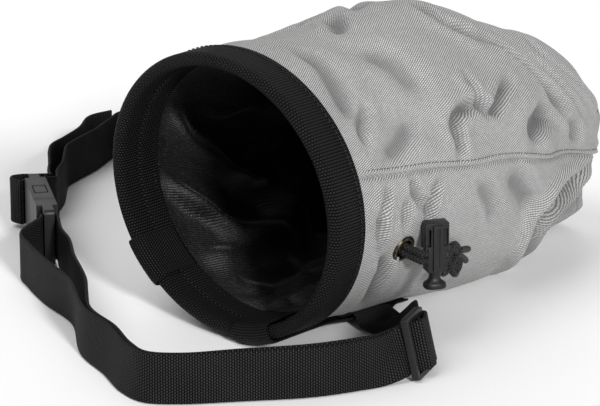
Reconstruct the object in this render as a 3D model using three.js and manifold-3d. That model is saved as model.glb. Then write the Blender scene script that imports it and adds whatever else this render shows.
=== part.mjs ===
// A climbing chalk bag with its waist belt, lying on its back on a flat surface.
// Millimetres, +Z up. X runs along the bag from its mouth to its closed end, and the eyelet is on the -Y side.
// Inside the group X starts at the lip. The group is moved so that the origin lies on the surface, under the
// middle of the flat patch that the bag rests on.
import * as THREE from "three";
import { mergeVertices } from "three/addons/utils/BufferGeometryUtils.js";
import Module from "manifold-3d";

// Bag
const mouthHeight = 117.5; // over the binding
const mouthWidth = 123.5; // the mouth is spread a little by the bag's weight
const bagLength = 216; // from the lip to the closed end
const mouthTilt = 3; // degrees, the top of the mouth leans forward
const backTurn = 18.5; // degrees, the middle of the back is rolled to the far side
const shellWall = 1.5;
const liningWall = 1.2;
const liningSlack = 3; // the lining is this much smaller than the shell near the closed end
const clothGap = 0.35; // between layers that lie on each other
const strapPlay = 0.55; // between the webbing and the pieces that it runs round
const restAlong = 0.56; // middle of the flat patch, a share of the bag's length

// Rim binding, folded over the edges of the shell and the lining
const bindingThickness = 1.2;
const bindingOuterDepth = 17;
const bindingInnerDepth = 21;

// Webbing: the belt, and the two loops that hold it to the back of the bag
const webbingWidth = 20;
const webbingThickness = 1.4;
const loopThickness = 1.2;
const loopWidth = 21;
const loopInside = 19; // depth of the loop's end inside the mouth
const loopLength = 82; // from the lip to the loop's end on the back
const nearLoopAngle = 32.5; // degrees from the middle of the back
const farLoopAngle = 30.5;
const beltAlong = 57; // from the lip to the middle of the belt under the loops

// Slider
const sliderLength = 18;
const sliderHeight = 25;
const sliderThickness = 2.6;
const sliderBar = 2.4;
const sliderRail = 2;

// Buckle
const buckleWidth = 24.4;
const buckleThickness = 9;
const buckleWall = 1.6;
const buckleBar = 3;
const buckleBarDepth = 4.4;
const strapSlot = 4.8;
const plugBase = 9;
const prongLength = 20;
const prongWidth = 4.6;
const guideWidth = 5;
const socketLength = 30;
const windowStart = 8; // from the socket's open end
const windowLength = 11;
const fitClearance = 0.35;

// Eyelet, drawcord and cord lock
const eyeletDiameter = 11;
const eyeletRise = 1.3;
const eyeletWall = 0.5;
const eyeletAlong = 43; // from the lip
const eyeletAngle = 108.5; // degrees from the top of the bag
const cordDiameter = 2.8;
const lockWidth = 11;
const lockWaist = 9.4;
const lockDepth = 8;
const lockHeight = 20;
const lockHeadShare = 0.56; // share of the lock's height that is full width
const lockGap = 11.5; // from the eyelet to the lock's middle, along the bag
const lockLift = 42.4; // from the surface to the lock's middle
const cordHoleHeight = 6.4; // from the lock's lower end to the middle of its cord hole
const lockRoof = 2;
const stemWidth = 6.4;
const stemDepth = 5.4;
const plungerTravel = 3.6;
const plungerHead = 3; // height of the plunger's head
const plungerHeadWidth = 10;
const knotDiameter = 9;
const knotGap = 13; // from the lock's middle to the knot's middle
const tailLength = 11;

// Fineness of the cloth surfaces
const around = 44;
const wallRows = 13;
const capRows = 3;

const wasm = await Module();
wasm.setup();
const { degToRad, lerp, smoothstep } = THREE.MathUtils;

const mouthRadius = mouthHeight / 2;
const oval = mouthWidth / mouthHeight;
const bindingStep = bindingThickness + clothGap;
const rimStack = 2 * bindingStep + shellWall + clothGap + liningWall; // thickness of the whole rim
const lipRadius = rimStack / 2;
const shellMouth = mouthRadius - bindingStep; // outer radius of the shell at the mouth
const shellStart = lipRadius + clothGap;
const beltStep = webbingThickness + clothGap;
const loopStep = loopThickness + clothGap;
const underStack = 2 * strapPlay + webbingThickness + loopStep; // what lies under the back of the bag
const ringHeight = mouthRadius + loopStep;
const standing = 0.4; // between the surface and the lower edges of the belt and its pieces
const bodyStart = bindingInnerDepth + 3; // where the cloth leaves the round rim

// Sections of the bag. "at" is a share of the bag's length. The others are shares of the mouth's radius: the
// height of the section's middle, then its reach to the top, to the near side, and so on round.
const sectionColumns =
  ["at", "middle", "top", "nearTop", "near", "nearLow", "low", "farLow", "far", "farTop"];
const sectionRows = [
  [0.125, 1.025, 0.96, 0.96, 0.965, 0.965, 0.965, 0.965, 0.965, 0.96],
  [0.208, 1.025, 0.93, 0.945, 0.97, 0.97, 1.02, 0.97, 0.97, 0.94],
  [0.3, 1.025, 0.955, 0.97, 0.98, 0.985, 1.05, 0.98, 0.98, 0.965],
  [0.38, 1.02, 1.005, 0.995, 0.975, 0.995, 1.06, 1.0, 0.98, 0.99],
  [0.472, 0.985, 1.03, 0.985, 0.95, 0.99, 1.07, 1.01, 0.98, 1.0],
  [0.54, 0.95, 1.04, 0.975, 0.915, 0.98, 1.06, 1.01, 0.98, 1.005],
  [0.61, 0.9, 1.015, 0.935, 0.865, 0.94, 1.02, 1.0, 0.97, 0.965],
  [0.68, 0.85, 0.95, 0.88, 0.79, 0.88, 0.95, 0.96, 0.935, 0.91],
  [0.755, 0.783, 0.895, 0.81, 0.705, 0.75, 0.86, 0.91, 0.885, 0.865],
  [0.81, 0.74, 0.865, 0.765, 0.638, 0.63, 0.79, 0.85, 0.835, 0.82],
  [0.866, 0.715, 0.81, 0.7, 0.565, 0.55, 0.74, 0.78, 0.78, 0.76],
  [0.926, 0.68, 0.69, 0.59, 0.47, 0.53, 0.68, 0.72, 0.71, 0.71],
  [0.972, 0.665, 0.54, 0.46, 0.38, 0.5, 0.62, 0.6, 0.58, 0.63],
];
const section = Object.fromEntries(
  sectionColumns.map((name, i) => [name, sectionRows.map((row) => row[i])]),
);

// Folds and dents of the shell. "at" and "long" are shares of the bag's length, "angle" is in degrees from the
// top towards the near side, "short" and "depth" are shares of the mouth's radius. A fold runs along the bag
// when slant is 0, and round it when slant is 90. A depth above 0 goes in.
const foldColumns = ["at", "angle", "long", "short", "slant", "depth"];
const foldRows = [
  [0.3, 62, 0.13, 0.14, 12, 0.03],
  [0.3, 88, 0.1, 0.12, -8, 0.035],
  [0.52, 42, 0.1, 0.16, 62, 0.05],
  [0.7, 62, 0.1, 0.17, 75, 0.07],
  [0.78, 22, 0.12, 0.13, 20, 0.05],
  [0.82, 350, 0.13, 0.15, -12, 0.05],
  [0.62, 118, 0.12, 0.16, 40, 0.05],
  [0.5, 285, 0.14, 0.2, 10, 0.05],
];
const folds = foldRows.map((row) => Object.fromEntries(foldColumns.map((name, i) => [name, row[i]])));

// Dents that push the closed end in. "across" (towards the far side) and "up" are shares of the mouth's radius,
// and so are the sizes.
const endDents = [
  { across: -0.15, up: 0.5, width: 0.4, height: 0.24, depth: 0.22 },
  { across: -0.5, up: 0.36, width: 0.24, height: 0.24, depth: 0.12 },
];

// The cloth of the lining hangs off the shell in soft folds, in the same columns as the shell's folds.
const sagRows = [
  [0.45, 200, 0.3, 0.22, 25, 0.1],
  [0.45, 240, 0.3, 0.2, 25, 0.12],
  [0.4, 150, 0.25, 0.2, 25, 0.09],
  [0.6, 100, 0.25, 0.3, 10, 0.09],
  [0.6, 300, 0.3, 0.3, 10, 0.1],
  [0.55, 10, 0.3, 0.3, 0, 0.12],
];
const sags = sagRows.map((row) => Object.fromEntries(foldColumns.map((name, i) => [name, row[i]])));

// Route of the belt's doubled front stretch, from the slider to the buckle, along its lower edge. "along" is a
// share of the bag's length and "across" of the mouth's width. "lean" tips the webbing's top inwards, in
// degrees. "apart" (between the two layers) and "raise" (of the inner layer) are shares of the webbing's width.
const frontColumns = ["along", "across", "lean", "apart", "raise"];
const frontRows = [
  [0.045, -0.638, 6, 0.06, 0.0],
  [-0.006, -0.612, 2, 0.0, 0.04],
  [-0.088, -0.545, 0, 0.0, 0.05],
  [-0.189, -0.407, 0, 0.0, 0.03],
  [-0.2685, -0.2915, 0, 0.0, 0.0],
  [-0.307, -0.195, 2, 0.0, 0.0],
  [-0.296, -0.089, 6, 0.0, 0.0],
  [-0.254, 0.06, 8, 0.0, 0.0],
  [-0.216, 0.238, 4, 0.02, 0.0],
  [-0.119, 0.475, -4, 0.25, 0.0],
  [-0.074, 0.681, 0, 0.55, 0.0],
  [-0.033, 0.835, 0, 0.78, 0.0],
  [0.004, 0.94, 0, 0.75, 0.02],
];

// Routes of the single belt, along its lower edge: "raise" is a share of the webbing's width. One runs from
// the slider back under the bag, the other from the far loop round behind the bag.
const singleColumns = ["along", "across", "lean", "raise"];
const returnRows = [
  [0.176, -0.57, -4, 0.1],
  [0.205, -0.485, 22, 0.06],
  [0.245, -0.37, 52, 0.0],
  [0.263, -0.285, 86, 0.06],
];
const farRows = [
  [0.3, 0.62, 70, 2.3],
  [0.34, 0.76, 48, 2.2],
  [0.4, 0.93, 20, 1.3],
  [0.49, 1.13, 4, 0.3],
  [0.6, 1.34, 0, 0.0],
  [0.7, 1.53, 0, 0.0],
  [0.735, 1.65, 0, 0.0],
];

// Route of the belt's doubled stretch behind the bag, up to the buckle, in the same columns as the front one.
const backRows = [
  [0.7, 1.71, 0, 0.16, 0.0],
  [0.653, 1.68, 0, 0.42, 0.0],
  [0.574, 1.62, 0, 0.3, 0.0],
  [0.5, 1.58, 0, 0.24, 0.0],
  [0.455, 1.55, 0, 0.26, 0.0],
  [0.425, 1.505, 0, 0.26, 0.0],
  [0.37, 1.415, 0, 0.2, 0.0],
  [0.325, 1.36, 0, 0.1, 0.0],
  [0.288, 1.3, 0, 0.05, 0.05],
];

// The belt's loose turn out of the buckle's far slot, from its bar: shares of the webbing's width.
const turnRows = [
  { ahead: -0.12, left: 0.26 },
  { ahead: 0.0, left: 0.39 },
  { ahead: 0.13, left: 0.46 },
  { ahead: 0.27, left: 0.42 },
  { ahead: 0.33, left: 0.22 },
  { ahead: 0.3, left: -0.04 },
  { ahead: 0.27, left: -0.26 },
];
const sliderAlong = 0.095;
const sliderAcross = -0.692;
const sliderHeading = 22; // degrees from the bag's axis
const sliderLean = 13; // degrees, towards the bag
const buckleAlong = 0.088;
const buckleAcross = 0.96;
const buckleHeading = 54.3;

const point = (x, y, z) => new THREE.Vector3(x, y, z);

// The value at x of a smooth curve through the points (xs, ys).
function smooth(xs, ys, x) {
  const last = xs.length - 1;
  const next = xs.findIndex((v) => v > x);
  const k = next < 0 ? last - 1 : Math.max(next - 1, 0);
  const slope = (j) => {
    const a = Math.max(j - 1, 0);
    const b = Math.min(j + 1, last);
    return (ys[b] - ys[a]) / (xs[b] - xs[a]);
  };
  const h = xs[k + 1] - xs[k];
  const t = Math.min(Math.max((x - xs[k]) / h, 0), 1);
  const rise = t * t * (3 - 2 * t);
  const bend = t * (1 - t);
  return lerp(ys[k], ys[k + 1], rise) + h * bend * ((1 - t) * slope(k) - t * slope(k + 1));
}

// A closed surface through rings of points, each ring joined to the next. A ring's ends are capped by joining
// its first half to its second, unless the last ring joins the first.
function ringSurface(rings, joined = false) {
  const n = rings[0].length;
  const faces = [];
  const quad = (a, b, c, d) => faces.push(a, b, c, a, c, d);
  const strips = joined ? rings.length : rings.length - 1;
  for (let k = 0; k < strips; k++)
    for (let j = 0; j < n; j++) {
      const next = ((k + 1) % rings.length) * n;
      const side = (j + 1) % n;
      quad(k * n + j, k * n + side, next + side, next + j);
    }
  const end = (rings.length - 1) * n;
  for (let j = 0; !joined && j < n / 2 - 1; j++) {
    quad(j, n - 1 - j, n - 2 - j, j + 1);
    quad(end + j, end + j + 1, end + n - 2 - j, end + n - 1 - j);
  }
  return facingOut(rings.flat(), faces);
}

// The geometry of a closed surface, with its faces turned to the outside.
function facingOut(points, faces) {
  let volume = 0;
  for (let i = 0; i < faces.length; i += 3)
    volume += points[faces[i]].dot(points[faces[i + 1]].clone().cross(points[faces[i + 2]]));
  if (volume < 0) faces.reverse();
  const geometry = new THREE.BufferGeometry().setFromPoints(points);
  geometry.setIndex(faces);
  return geometry;
}

const toSolid = (geometry) => {
  const bare = new THREE.BufferGeometry();
  bare.setAttribute("position", geometry.getAttribute("position"));
  bare.setIndex(geometry.index);
  const merged = mergeVertices(bare, 1e-4);
  return new wasm.Manifold(
    new wasm.Mesh({
      numProp: 3,
      vertProperties: new Float32Array(merged.attributes.position.array),
      triVerts: new Uint32Array(merged.index.array),
    }),
  );
};
const toGeometry = (solid) => {
  const mesh = solid.getMesh();
  const geometry = new THREE.BufferGeometry();
  geometry.setAttribute("position", new THREE.BufferAttribute(mesh.vertProperties, 3));
  geometry.setIndex(new THREE.BufferAttribute(mesh.triVerts, 1));
  return geometry;
};
const joinSolids = (...geometries) => geometries.map(toSolid).reduce((a, b) => a.add(b));
const boxAt = (width, depth, height, x, y, z) =>
  new THREE.BoxGeometry(width, depth, height).translate(x, y, z);

// Reach of the bag's section at x, in the direction angle (degrees from the top towards the near side).
const directions = sectionColumns.slice(2);
function sectionReach(x, angle) {
  const share = x / bagLength;
  const reach = directions.map((name) => smooth(section.at, section[name], share));
  const turn = (((angle % 360) + 360) % 360) / 45;
  const keys = [-2, -1, 0, 1, 2, 3].map((k) => Math.floor(turn) + k);
  return smooth(keys, keys.map((k) => reach[((k % 8) + 8) % 8]), turn) * mouthRadius;
}

// Depth of a set of folds at x and angle.
function foldDepth(list, x, angle) {
  return list.reduce((sum, fold) => {
    const turned = ((angle - fold.angle + 540) % 360) - 180;
    const dx = x - fold.at * bagLength;
    const dy = degToRad(turned) * mouthRadius;
    const slant = degToRad(fold.slant);
    const a = (dx * Math.cos(slant) + dy * Math.sin(slant)) / (fold.long * bagLength);
    const b = (dy * Math.cos(slant) - dx * Math.sin(slant)) / (fold.short * mouthRadius);
    return sum + fold.depth * mouthRadius * Math.exp(-a * a - b * b);
  }, 0);
}

// The mouth's plane leans forward, and the lean fades out along the bag.
const leanForward = (x, z) =>
  (z - ringHeight) * Math.tan(degToRad(mouthTilt)) * (1 - smoothstep(x, bodyStart, bagLength / 2));

// A point at distance radius from the axis of the round rim.
function rimPoint(x, radius, angle) {
  const z = ringHeight + radius * Math.cos(degToRad(angle));
  return point(x - leanForward(x, z), -radius * oval * Math.sin(degToRad(angle)), z);
}

// A point on the outside of the shell. shrink below 1 draws the section in towards its middle.
function shellPoint(x, angle, shrink = 1, push = 0) {
  const free = smoothstep(x, bodyStart, bodyStart + 0.6 * mouthRadius);
  const middle = lerp(ringHeight, smooth(section.at, section.middle, x / bagLength) * mouthRadius, free);
  const loose = sectionReach(x, angle) - foldDepth(folds, x, angle);
  const reach = lerp(shellMouth, loose, free) * shrink;
  const y = -reach * oval * Math.sin(degToRad(angle));
  const rising = smoothstep(x, bodyStart, beltAlong - webbingWidth / 2 - 2);
  const floor = underStack * rising * (1 - smoothstep(x, loopLength + 2, loopLength + 34));
  const z = Math.max(middle + reach * Math.cos(degToRad(angle)), floor);
  const inward = endDents.reduce((sum, dent) => {
    const a = (y / mouthRadius - dent.across) / dent.width;
    const b = (z / mouthRadius - dent.up) / dent.height;
    return sum + dent.depth * mouthRadius * Math.exp(-a * a - b * b);
  }, 0);
  const nearEnd = smoothstep(x, 0.75 * bagLength, bagLength);
  return point(x + push - leanForward(x, z) - inward * nearEnd, y, z);
}

// Rows of points of the shell's outside, from the mouth to the closed end.
function shellRows() {
  const lastWall = section.at[section.at.length - 1] * bagLength;
  const walls = Array.from({ length: wallRows }, (_, k) => lerp(bodyStart, lastWall, k / (wallRows - 1)));
  const rows = [shellStart, ...walls].map((x) => ({ x, shrink: 1, push: 0 }));
  for (let k = 1; k <= capRows; k++) {
    const turn = (k / (capRows + 0.4)) * (Math.PI / 2);
    rows.push({ x: lastWall, shrink: Math.cos(turn), push: 0.1 * mouthRadius * Math.sin(turn) });
  }
  return rows.map((row) => ({
    x: row.x,
    ring: Array.from({ length: around }, (_, j) => shellPoint(row.x, (j * 360) / around, row.shrink, row.push)),
  }));
}
const shellGrid = shellRows();

// The direction out of the shell at a point of its grid.
function gridNormal(k, j) {
  const ring = (row) => shellGrid[Math.min(Math.max(row, 0), shellGrid.length - 1)].ring;
  const alongBag = ring(k + 1)[j].clone().sub(ring(k - 1)[j]);
  const roundBag = ring(k)[(j + 1) % around].clone().sub(ring(k)[(j + around - 1) % around]);
  return roundBag.cross(alongBag).normalize();
}

// The shell's grid moved inwards, by a depth that may differ from point to point.
const inwardRings = (depth) =>
  shellGrid.map(({ x, ring }, k) =>
    ring.map((p, j) => p.clone().addScaledVector(gridNormal(k, j), -depth(x, (j * 360) / around, k))),
  );

// A wall of cloth between two sets of rings, open at the mouth.
const clothWall = (outer, inner) => ringSurface([...outer.slice().reverse(), ...inner]);

// The outside of the shell at x and angle, moved out by lift.
function onShell(x, angle, lift) {
  const p = shellPoint(x, angle);
  const roundBag = shellPoint(x, angle + 4).sub(shellPoint(x, angle - 4));
  const alongBag = shellPoint(x + 3, angle).sub(shellPoint(x - 3, angle));
  return p.addScaledVector(roundBag.cross(alongBag).normalize(), lift);
}

// Rim binding: a strip of webbing folded over the edge, turned round the mouth.
function bindingGeometry() {
  const fold = (radius) =>
    Array.from({ length: 7 }, (_, k) => {
      const turn = (k / 6) * Math.PI;
      return [lipRadius - radius * Math.sin(turn), mouthRadius - lipRadius + radius * Math.cos(turn)];
    });
  const outside = fold(lipRadius);
  const inside = fold(lipRadius - bindingThickness).reverse();
  const profile = [
    [bindingOuterDepth, mouthRadius],
    ...outside,
    [bindingInnerDepth, mouthRadius - rimStack],
    [bindingInnerDepth, mouthRadius - rimStack + bindingThickness],
    ...inside,
    [bindingOuterDepth, mouthRadius - bindingThickness],
  ];
  const steps = 44;
  const rings = Array.from({ length: steps }, (_, k) =>
    profile.map(([x, radius]) => rimPoint(x, radius, (k * 360) / steps)),
  );
  return ringSurface(rings, true);
}

// Belt loop: a strip over the lip and down the back, standing off where the belt passes under it.
function beltLoopGeometry(middleAngle) {
  const half = THREE.MathUtils.radToDeg(loopWidth / 2 / mouthRadius);
  const angles = Array.from({ length: 5 }, (_, k) => middleAngle + half * (k / 2 - 1));
  const innerRadius = mouthRadius - rimStack - clothGap;
  const overBinding = bindingStep + clothGap;
  const overBelt = strapPlay + webbingThickness + strapPlay;
  const beltEdge = webbingWidth / 2 + 2;
  const onBack = [
    [bindingOuterDepth + 1, overBinding],
    [bindingOuterDepth + 11, overBinding],
    [beltAlong - beltEdge, overBelt],
    [beltAlong, overBelt],
    [beltAlong + beltEdge, overBelt],
    [beltAlong + beltEdge + 6, strapPlay],
    [loopLength, strapPlay],
  ];
  const section = (at) => [...angles.map((a) => at(a, 0)), ...angles.slice().reverse().map((a) => at(a, 1))];
  const rings = [section((a, side) => rimPoint(loopInside, innerRadius - side * loopThickness, a))];
  for (let k = 0; k <= 6; k++) {
    const turn = (k / 6) * Math.PI;
    rings.push(
      section((a, side) => {
        const radius = lipRadius + clothGap + side * loopThickness;
        const centre = mouthRadius - lipRadius;
        return rimPoint(lipRadius - radius * Math.sin(turn), centre - radius * Math.cos(turn), a);
      }),
    );
  }
  for (const [x, lift] of onBack) rings.push(section((a, side) => onShell(x, a, lift + side * loopThickness)));
  return ringSurface(rings);
}

const named = (columns, rows) => rows.map((row) => Object.fromEntries(columns.map((name, i) => [name, row[i]])));
const up = point(0, 0, 1);

// A station of the belt: the middle of the webbing, and the direction of its width.
const station = (middle, width) => ({ middle, width });

// The station of a route's row k, moved to the right of the route by shift, with its lower edge at raise.
function routeStation(rows, k, shift, raise) {
  const row = rows[k];
  const before = rows[Math.max(k - 1, 0)];
  const after = rows[Math.min(k + 1, rows.length - 1)];
  const dx = (after.along - before.along) * bagLength;
  const dy = (after.across - before.across) * mouthWidth;
  const right = point(dy, -dx, 0).normalize();
  const tip = degToRad(row.lean);
  const width = point(0, 0, Math.cos(tip)).addScaledVector(right, Math.sin(tip));
  const half = (webbingWidth * Math.abs(Math.cos(tip)) + webbingThickness * Math.abs(Math.sin(tip))) / 2;
  const middle = point(row.along * bagLength, row.across * mouthWidth, raise * webbingWidth + half + standing);
  return station(middle.addScaledVector(right, shift), width);
}

// The left (0) or the right (1) layer of a doubled stretch, and a single stretch.
const layerStations = (rows, layer) =>
  rows.map((row, k) =>
    routeStation(rows, k, layer * (beltStep + row.apart * webbingWidth), layer * row.raise),
  );
const singleStations = (rows) => rows.map((row, k) => routeStation(rows, k, 0, row.raise));

// A strip of webbing through its stations.
function webbingGeometry(stations) {
  const middles = new THREE.CatmullRomCurve3(stations.map((s) => s.middle), false, "centripetal");
  const widths = new THREE.CatmullRomCurve3(stations.map((s) => s.width), false, "centripetal");
  const count = (stations.length - 1) * 2;
  const rings = Array.from({ length: count + 1 }, (_, k) => {
    const t = k / count;
    const middle = middles.getPoint(t);
    const forward = middles.getTangent(t);
    const width = widths.getPoint(t);
    width.addScaledVector(forward, -width.dot(forward)).setLength(webbingWidth / 2);
    const normal = forward.clone().cross(width).setLength(webbingThickness / 2);
    return [[1, 1], [-1, 1], [-1, -1], [1, -1]].map(([a, b]) =>
      middle.clone().addScaledVector(width, a).addScaledVector(normal, b),
    );
  });
  return ringSurface(rings);
}

// Places on the surface with a heading: points go along the heading (s), to the left of it (n) and up (z).
function placeAt(along, across, heading, lean, thickness) {
  const turn = degToRad(heading);
  const tip = degToRad(lean);
  const forward = point(Math.cos(turn), Math.sin(turn), 0);
  const left = point(-Math.sin(turn), Math.cos(turn), 0);
  const raised = up.clone().multiplyScalar(Math.cos(tip)).addScaledVector(left, Math.sin(tip));
  const frame = new THREE.Matrix4().makeBasis(forward, raised.clone().cross(forward), raised);
  const height = standing + (thickness / 2) * Math.sin(tip);
  return frame.setPosition(along * bagLength, across * mouthWidth, height);
}
const sliderPlace = placeAt(sliderAlong, sliderAcross, sliderHeading, sliderLean, sliderThickness);
const bucklePlace = placeAt(buckleAlong, buckleAcross, buckleHeading, 0, buckleThickness);
const standingAt = (place, s, n, z) =>
  station(point(s, n, z).applyMatrix4(place), point(0, 0, 1).transformDirection(place));

// Measures of the slider and the buckle along their headings, from the middle of their first bar
const sliderPitch = (sliderLength - sliderBar) / 2;
const overSlider = sliderThickness / 2 + strapPlay + webbingThickness / 2;
const roundSlider = sliderBar / 2 + strapPlay + webbingThickness / 2;
const overSewn = overSlider + beltStep;
const roundBuckle = buckleBar / 2 + strapPlay + webbingThickness / 2;
const overBuckle = buckleBarDepth / 2 + strapPlay + webbingThickness / 2;
const baseStart = buckleBar / 2 + strapSlot;
const socketStart = baseStart + plugBase + fitClearance;
const socketEnd = socketStart + socketLength;
const farBar = socketEnd + strapSlot + buckleBar / 2;

// Stations of the belt, from its sewn end on the slider's middle bar to its free end behind the bag.
function beltStations() {
  const front = named(frontColumns, frontRows);
  const back = named(frontColumns, backRows);
  const onSlider = ([s, n]) => standingAt(sliderPlace, s, n, sliderHeight / 2);
  const onBuckle = (s, n) => standingAt(bucklePlace, s, n, buckleWidth / 2);
  const squared = (v) => Math.sign(v) * Math.abs(v) ** 0.7;
  const roundBar = (s, angles) =>
    angles.map((angle) => {
      const turn = degToRad(angle);
      return onBuckle(s + roundBuckle * squared(Math.cos(turn)), overBuckle * squared(Math.sin(turn)));
    });
  const sewnEnd = [
    [sliderPitch - 0.8, -overSlider],
    [sliderPitch + 0.6, -overSlider],
    [sliderPitch + 0.8 * roundSlider, -0.6 * overSlider],
    [sliderPitch + roundSlider, 0],
    [sliderPitch + 0.8 * roundSlider, 0.6 * overSlider],
    [sliderPitch + 0.6, overSlider],
    [sliderPitch - 2.4, overSlider + 0.7],
    [0, overSewn],
  ];
  const throughSlider = [
    [-0.4, overSlider],
    [1.3, overSlider],
    [3, 1.3],
    [3.9, -0.4],
    [4.7, -2.3],
    [6, -0.93 * overSewn],
    [sliderPitch, -overSewn],
    [sliderPitch + 3, -overSewn],
    [2 * sliderPitch - 1.6, -overSlider - 0.3],
    [2 * sliderPitch + 0.5, -overSlider],
    [2 * sliderPitch + 0.97 * roundSlider, -1.6],
    [2 * sliderPitch + roundSlider + 0.4, 1],
    [2 * sliderPitch + roundSlider + 1.6, 4],
  ];
  const underBag = [155, 161, 168, 176, 184, 193, 202, 211, 220, 229, 238, 243].map((angle) => {
    const lift = strapPlay + webbingThickness / 2;
    const ahead = onShell(beltAlong - webbingWidth / 2, angle, lift);
    const rear = onShell(beltAlong + webbingWidth / 2, angle, lift);
    return station(ahead.clone().add(rear).divideScalar(2), rear.sub(ahead).normalize());
  });
  return [
    ...sewnEnd.map(onSlider),
    ...layerStations(front, 1),
    ...roundBar(0, [-100, -50, 0, 50, 100]),
    ...layerStations(front, 0).reverse(),
    ...throughSlider.map(onSlider),
    ...singleStations(named(singleColumns, returnRows)),
    ...underBag,
    ...singleStations(named(singleColumns, farRows)),
    ...layerStations(back, 0),
    ...roundBar(farBar, [-80, -130, -180, -230, -270]),
    ...turnRows.map((row) => onBuckle(farBar + row.ahead * webbingWidth, row.left * webbingWidth)),
    ...layerStations(back, 1).reverse(),
  ];
}

// A plate with slots, standing on its lower edge. Its outline lies in the plane of the heading and up.
function slottedPlate(length, height, thickness, slots, corner) {
  const outline = (target, x0, y0, x1, y1, r) => {
    target.moveTo(x0 + r, y0);
    target.lineTo(x1 - r, y0);
    target.quadraticCurveTo(x1, y0, x1, y0 + r);
    target.lineTo(x1, y1 - r);
    target.quadraticCurveTo(x1, y1, x1 - r, y1);
    target.lineTo(x0 + r, y1);
    target.quadraticCurveTo(x0, y1, x0, y1 - r);
    target.lineTo(x0, y0 + r);
    target.quadraticCurveTo(x0, y0, x0 + r, y0);
    return target;
  };
  const shape = outline(new THREE.Shape(), 0, 0, length, height, corner);
  shape.holes = slots.map(([x0, y0, x1, y1]) => outline(new THREE.Path(), x0, y0, x1, y1, 0.6));
  const plate = new THREE.ExtrudeGeometry(shape, { depth: thickness, bevelEnabled: false, curveSegments: 3 });
  return plate.rotateX(Math.PI / 2).translate(0, thickness / 2, 0);
}

// Slider: three bars between two rails
function sliderGeometry() {
  const slotEnd = sliderHeight - sliderRail;
  const slots = [
    [sliderBar, sliderRail, sliderPitch, slotEnd],
    [sliderPitch + sliderBar, sliderRail, 2 * sliderPitch, slotEnd],
  ];
  const plate = slottedPlate(sliderLength, sliderHeight, sliderThickness, slots, 1.6);
  return plate.translate(-sliderBar / 2, 0, 0).applyMatrix4(sliderPlace);
}

// Buckle plug: bar, slot and base, with a guide and two springy prongs that go into the socket
const buckleRail = (buckleWidth - webbingWidth) / 2 - fitClearance;
const cavityHalf = buckleWidth / 2 - buckleWall;
const prongMiddle = cavityHalf - fitClearance - prongWidth / 2;
function plugGeometry() {
  const frame = slottedPlate(
    baseStart + plugBase + buckleBar / 2,
    buckleWidth,
    buckleBarDepth,
    [[buckleBar, buckleRail, baseStart + buckleBar / 2, buckleWidth - buckleRail]],
    2,
  ).translate(-buckleBar / 2, 0, 0);
  const middle = buckleWidth / 2;
  const base = boxAt(plugBase, buckleThickness, buckleWidth, baseStart + plugBase / 2, 0, middle);
  const thick = buckleThickness - 2 * (buckleWall + fitClearance);
  const start = baseStart + plugBase - 1;
  const arm = (length, width, z) => boxAt(length, thick, width, start + length / 2, 0, middle + z);
  const windowMiddle = socketStart + windowStart + windowLength / 2;
  const knobReach = 2 * (buckleWall + fitClearance);
  const knob = (z) => boxAt(windowLength - 2, thick, knobReach, windowMiddle, 0, middle + z);
  const reach = prongMiddle + prongWidth / 2;
  return joinSolids(
    frame,
    base,
    arm(prongLength + windowLength / 2, guideWidth, 0),
    arm(prongLength + 1, prongWidth, prongMiddle),
    arm(prongLength + 1, prongWidth, -prongMiddle),
    knob(reach),
    knob(-reach),
  );
}

// Buckle socket: a flat sleeve with a window in each edge, and a slot and a bar beyond its closed end
function socketSolid() {
  const middle = buckleWidth / 2;
  const length = socketLength + strapSlot + buckleBar;
  const outer = slottedPlate(
    length,
    buckleWidth,
    buckleThickness,
    [[socketLength, buckleRail, socketLength + strapSlot, buckleWidth - buckleRail]],
    3,
  );
  const square = boxAt(6, buckleThickness, buckleWidth, 3, 0, middle);
  const depth = socketLength - buckleWall;
  const hollow = boxAt(2 * depth, buckleThickness - 2 * buckleWall, 2 * cavityHalf, 0, 0, middle);
  const windowMiddle = windowStart + windowLength / 2;
  const windows = boxAt(windowLength, 0.66 * buckleThickness, 2 * buckleWidth, windowMiddle, 0, middle);
  const thinBar = (side) => {
    const away = (side * (buckleBarDepth + buckleThickness)) / 2;
    return boxAt(2 * (strapSlot + buckleBar), buckleThickness, 2 * buckleWidth, length, away, middle);
  };
  return joinSolids(outer, square)
    .subtract(toSolid(hollow))
    .subtract(toSolid(windows))
    .subtract(toSolid(thinBar(1)))
    .subtract(toSolid(thinBar(-1)));
}

const bag = new THREE.Group();
bag.position.x = -restAlong * bagLength;
const add = (group, name, geometry, material) => {
  const mesh = new THREE.Mesh(geometry, material);
  mesh.name = name;
  group.add(mesh);
  return mesh;
};
const fabric = new THREE.MeshStandardMaterial({ color: 0xa3a5a4, roughness: 0.9 });
const plush = new THREE.MeshStandardMaterial({ color: 0x121213, roughness: 0.8 });
const webbing = new THREE.MeshStandardMaterial({ color: 0x1d1e1f, roughness: 0.75 });
const plastic = new THREE.MeshStandardMaterial({ color: 0x1b1c1e, roughness: 0.45 });
const brass = new THREE.MeshStandardMaterial({ color: 0x4a4033, roughness: 0.4, metalness: 0.9 });
const braid = new THREE.MeshStandardMaterial({ color: 0x161617, roughness: 0.7 });

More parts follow.
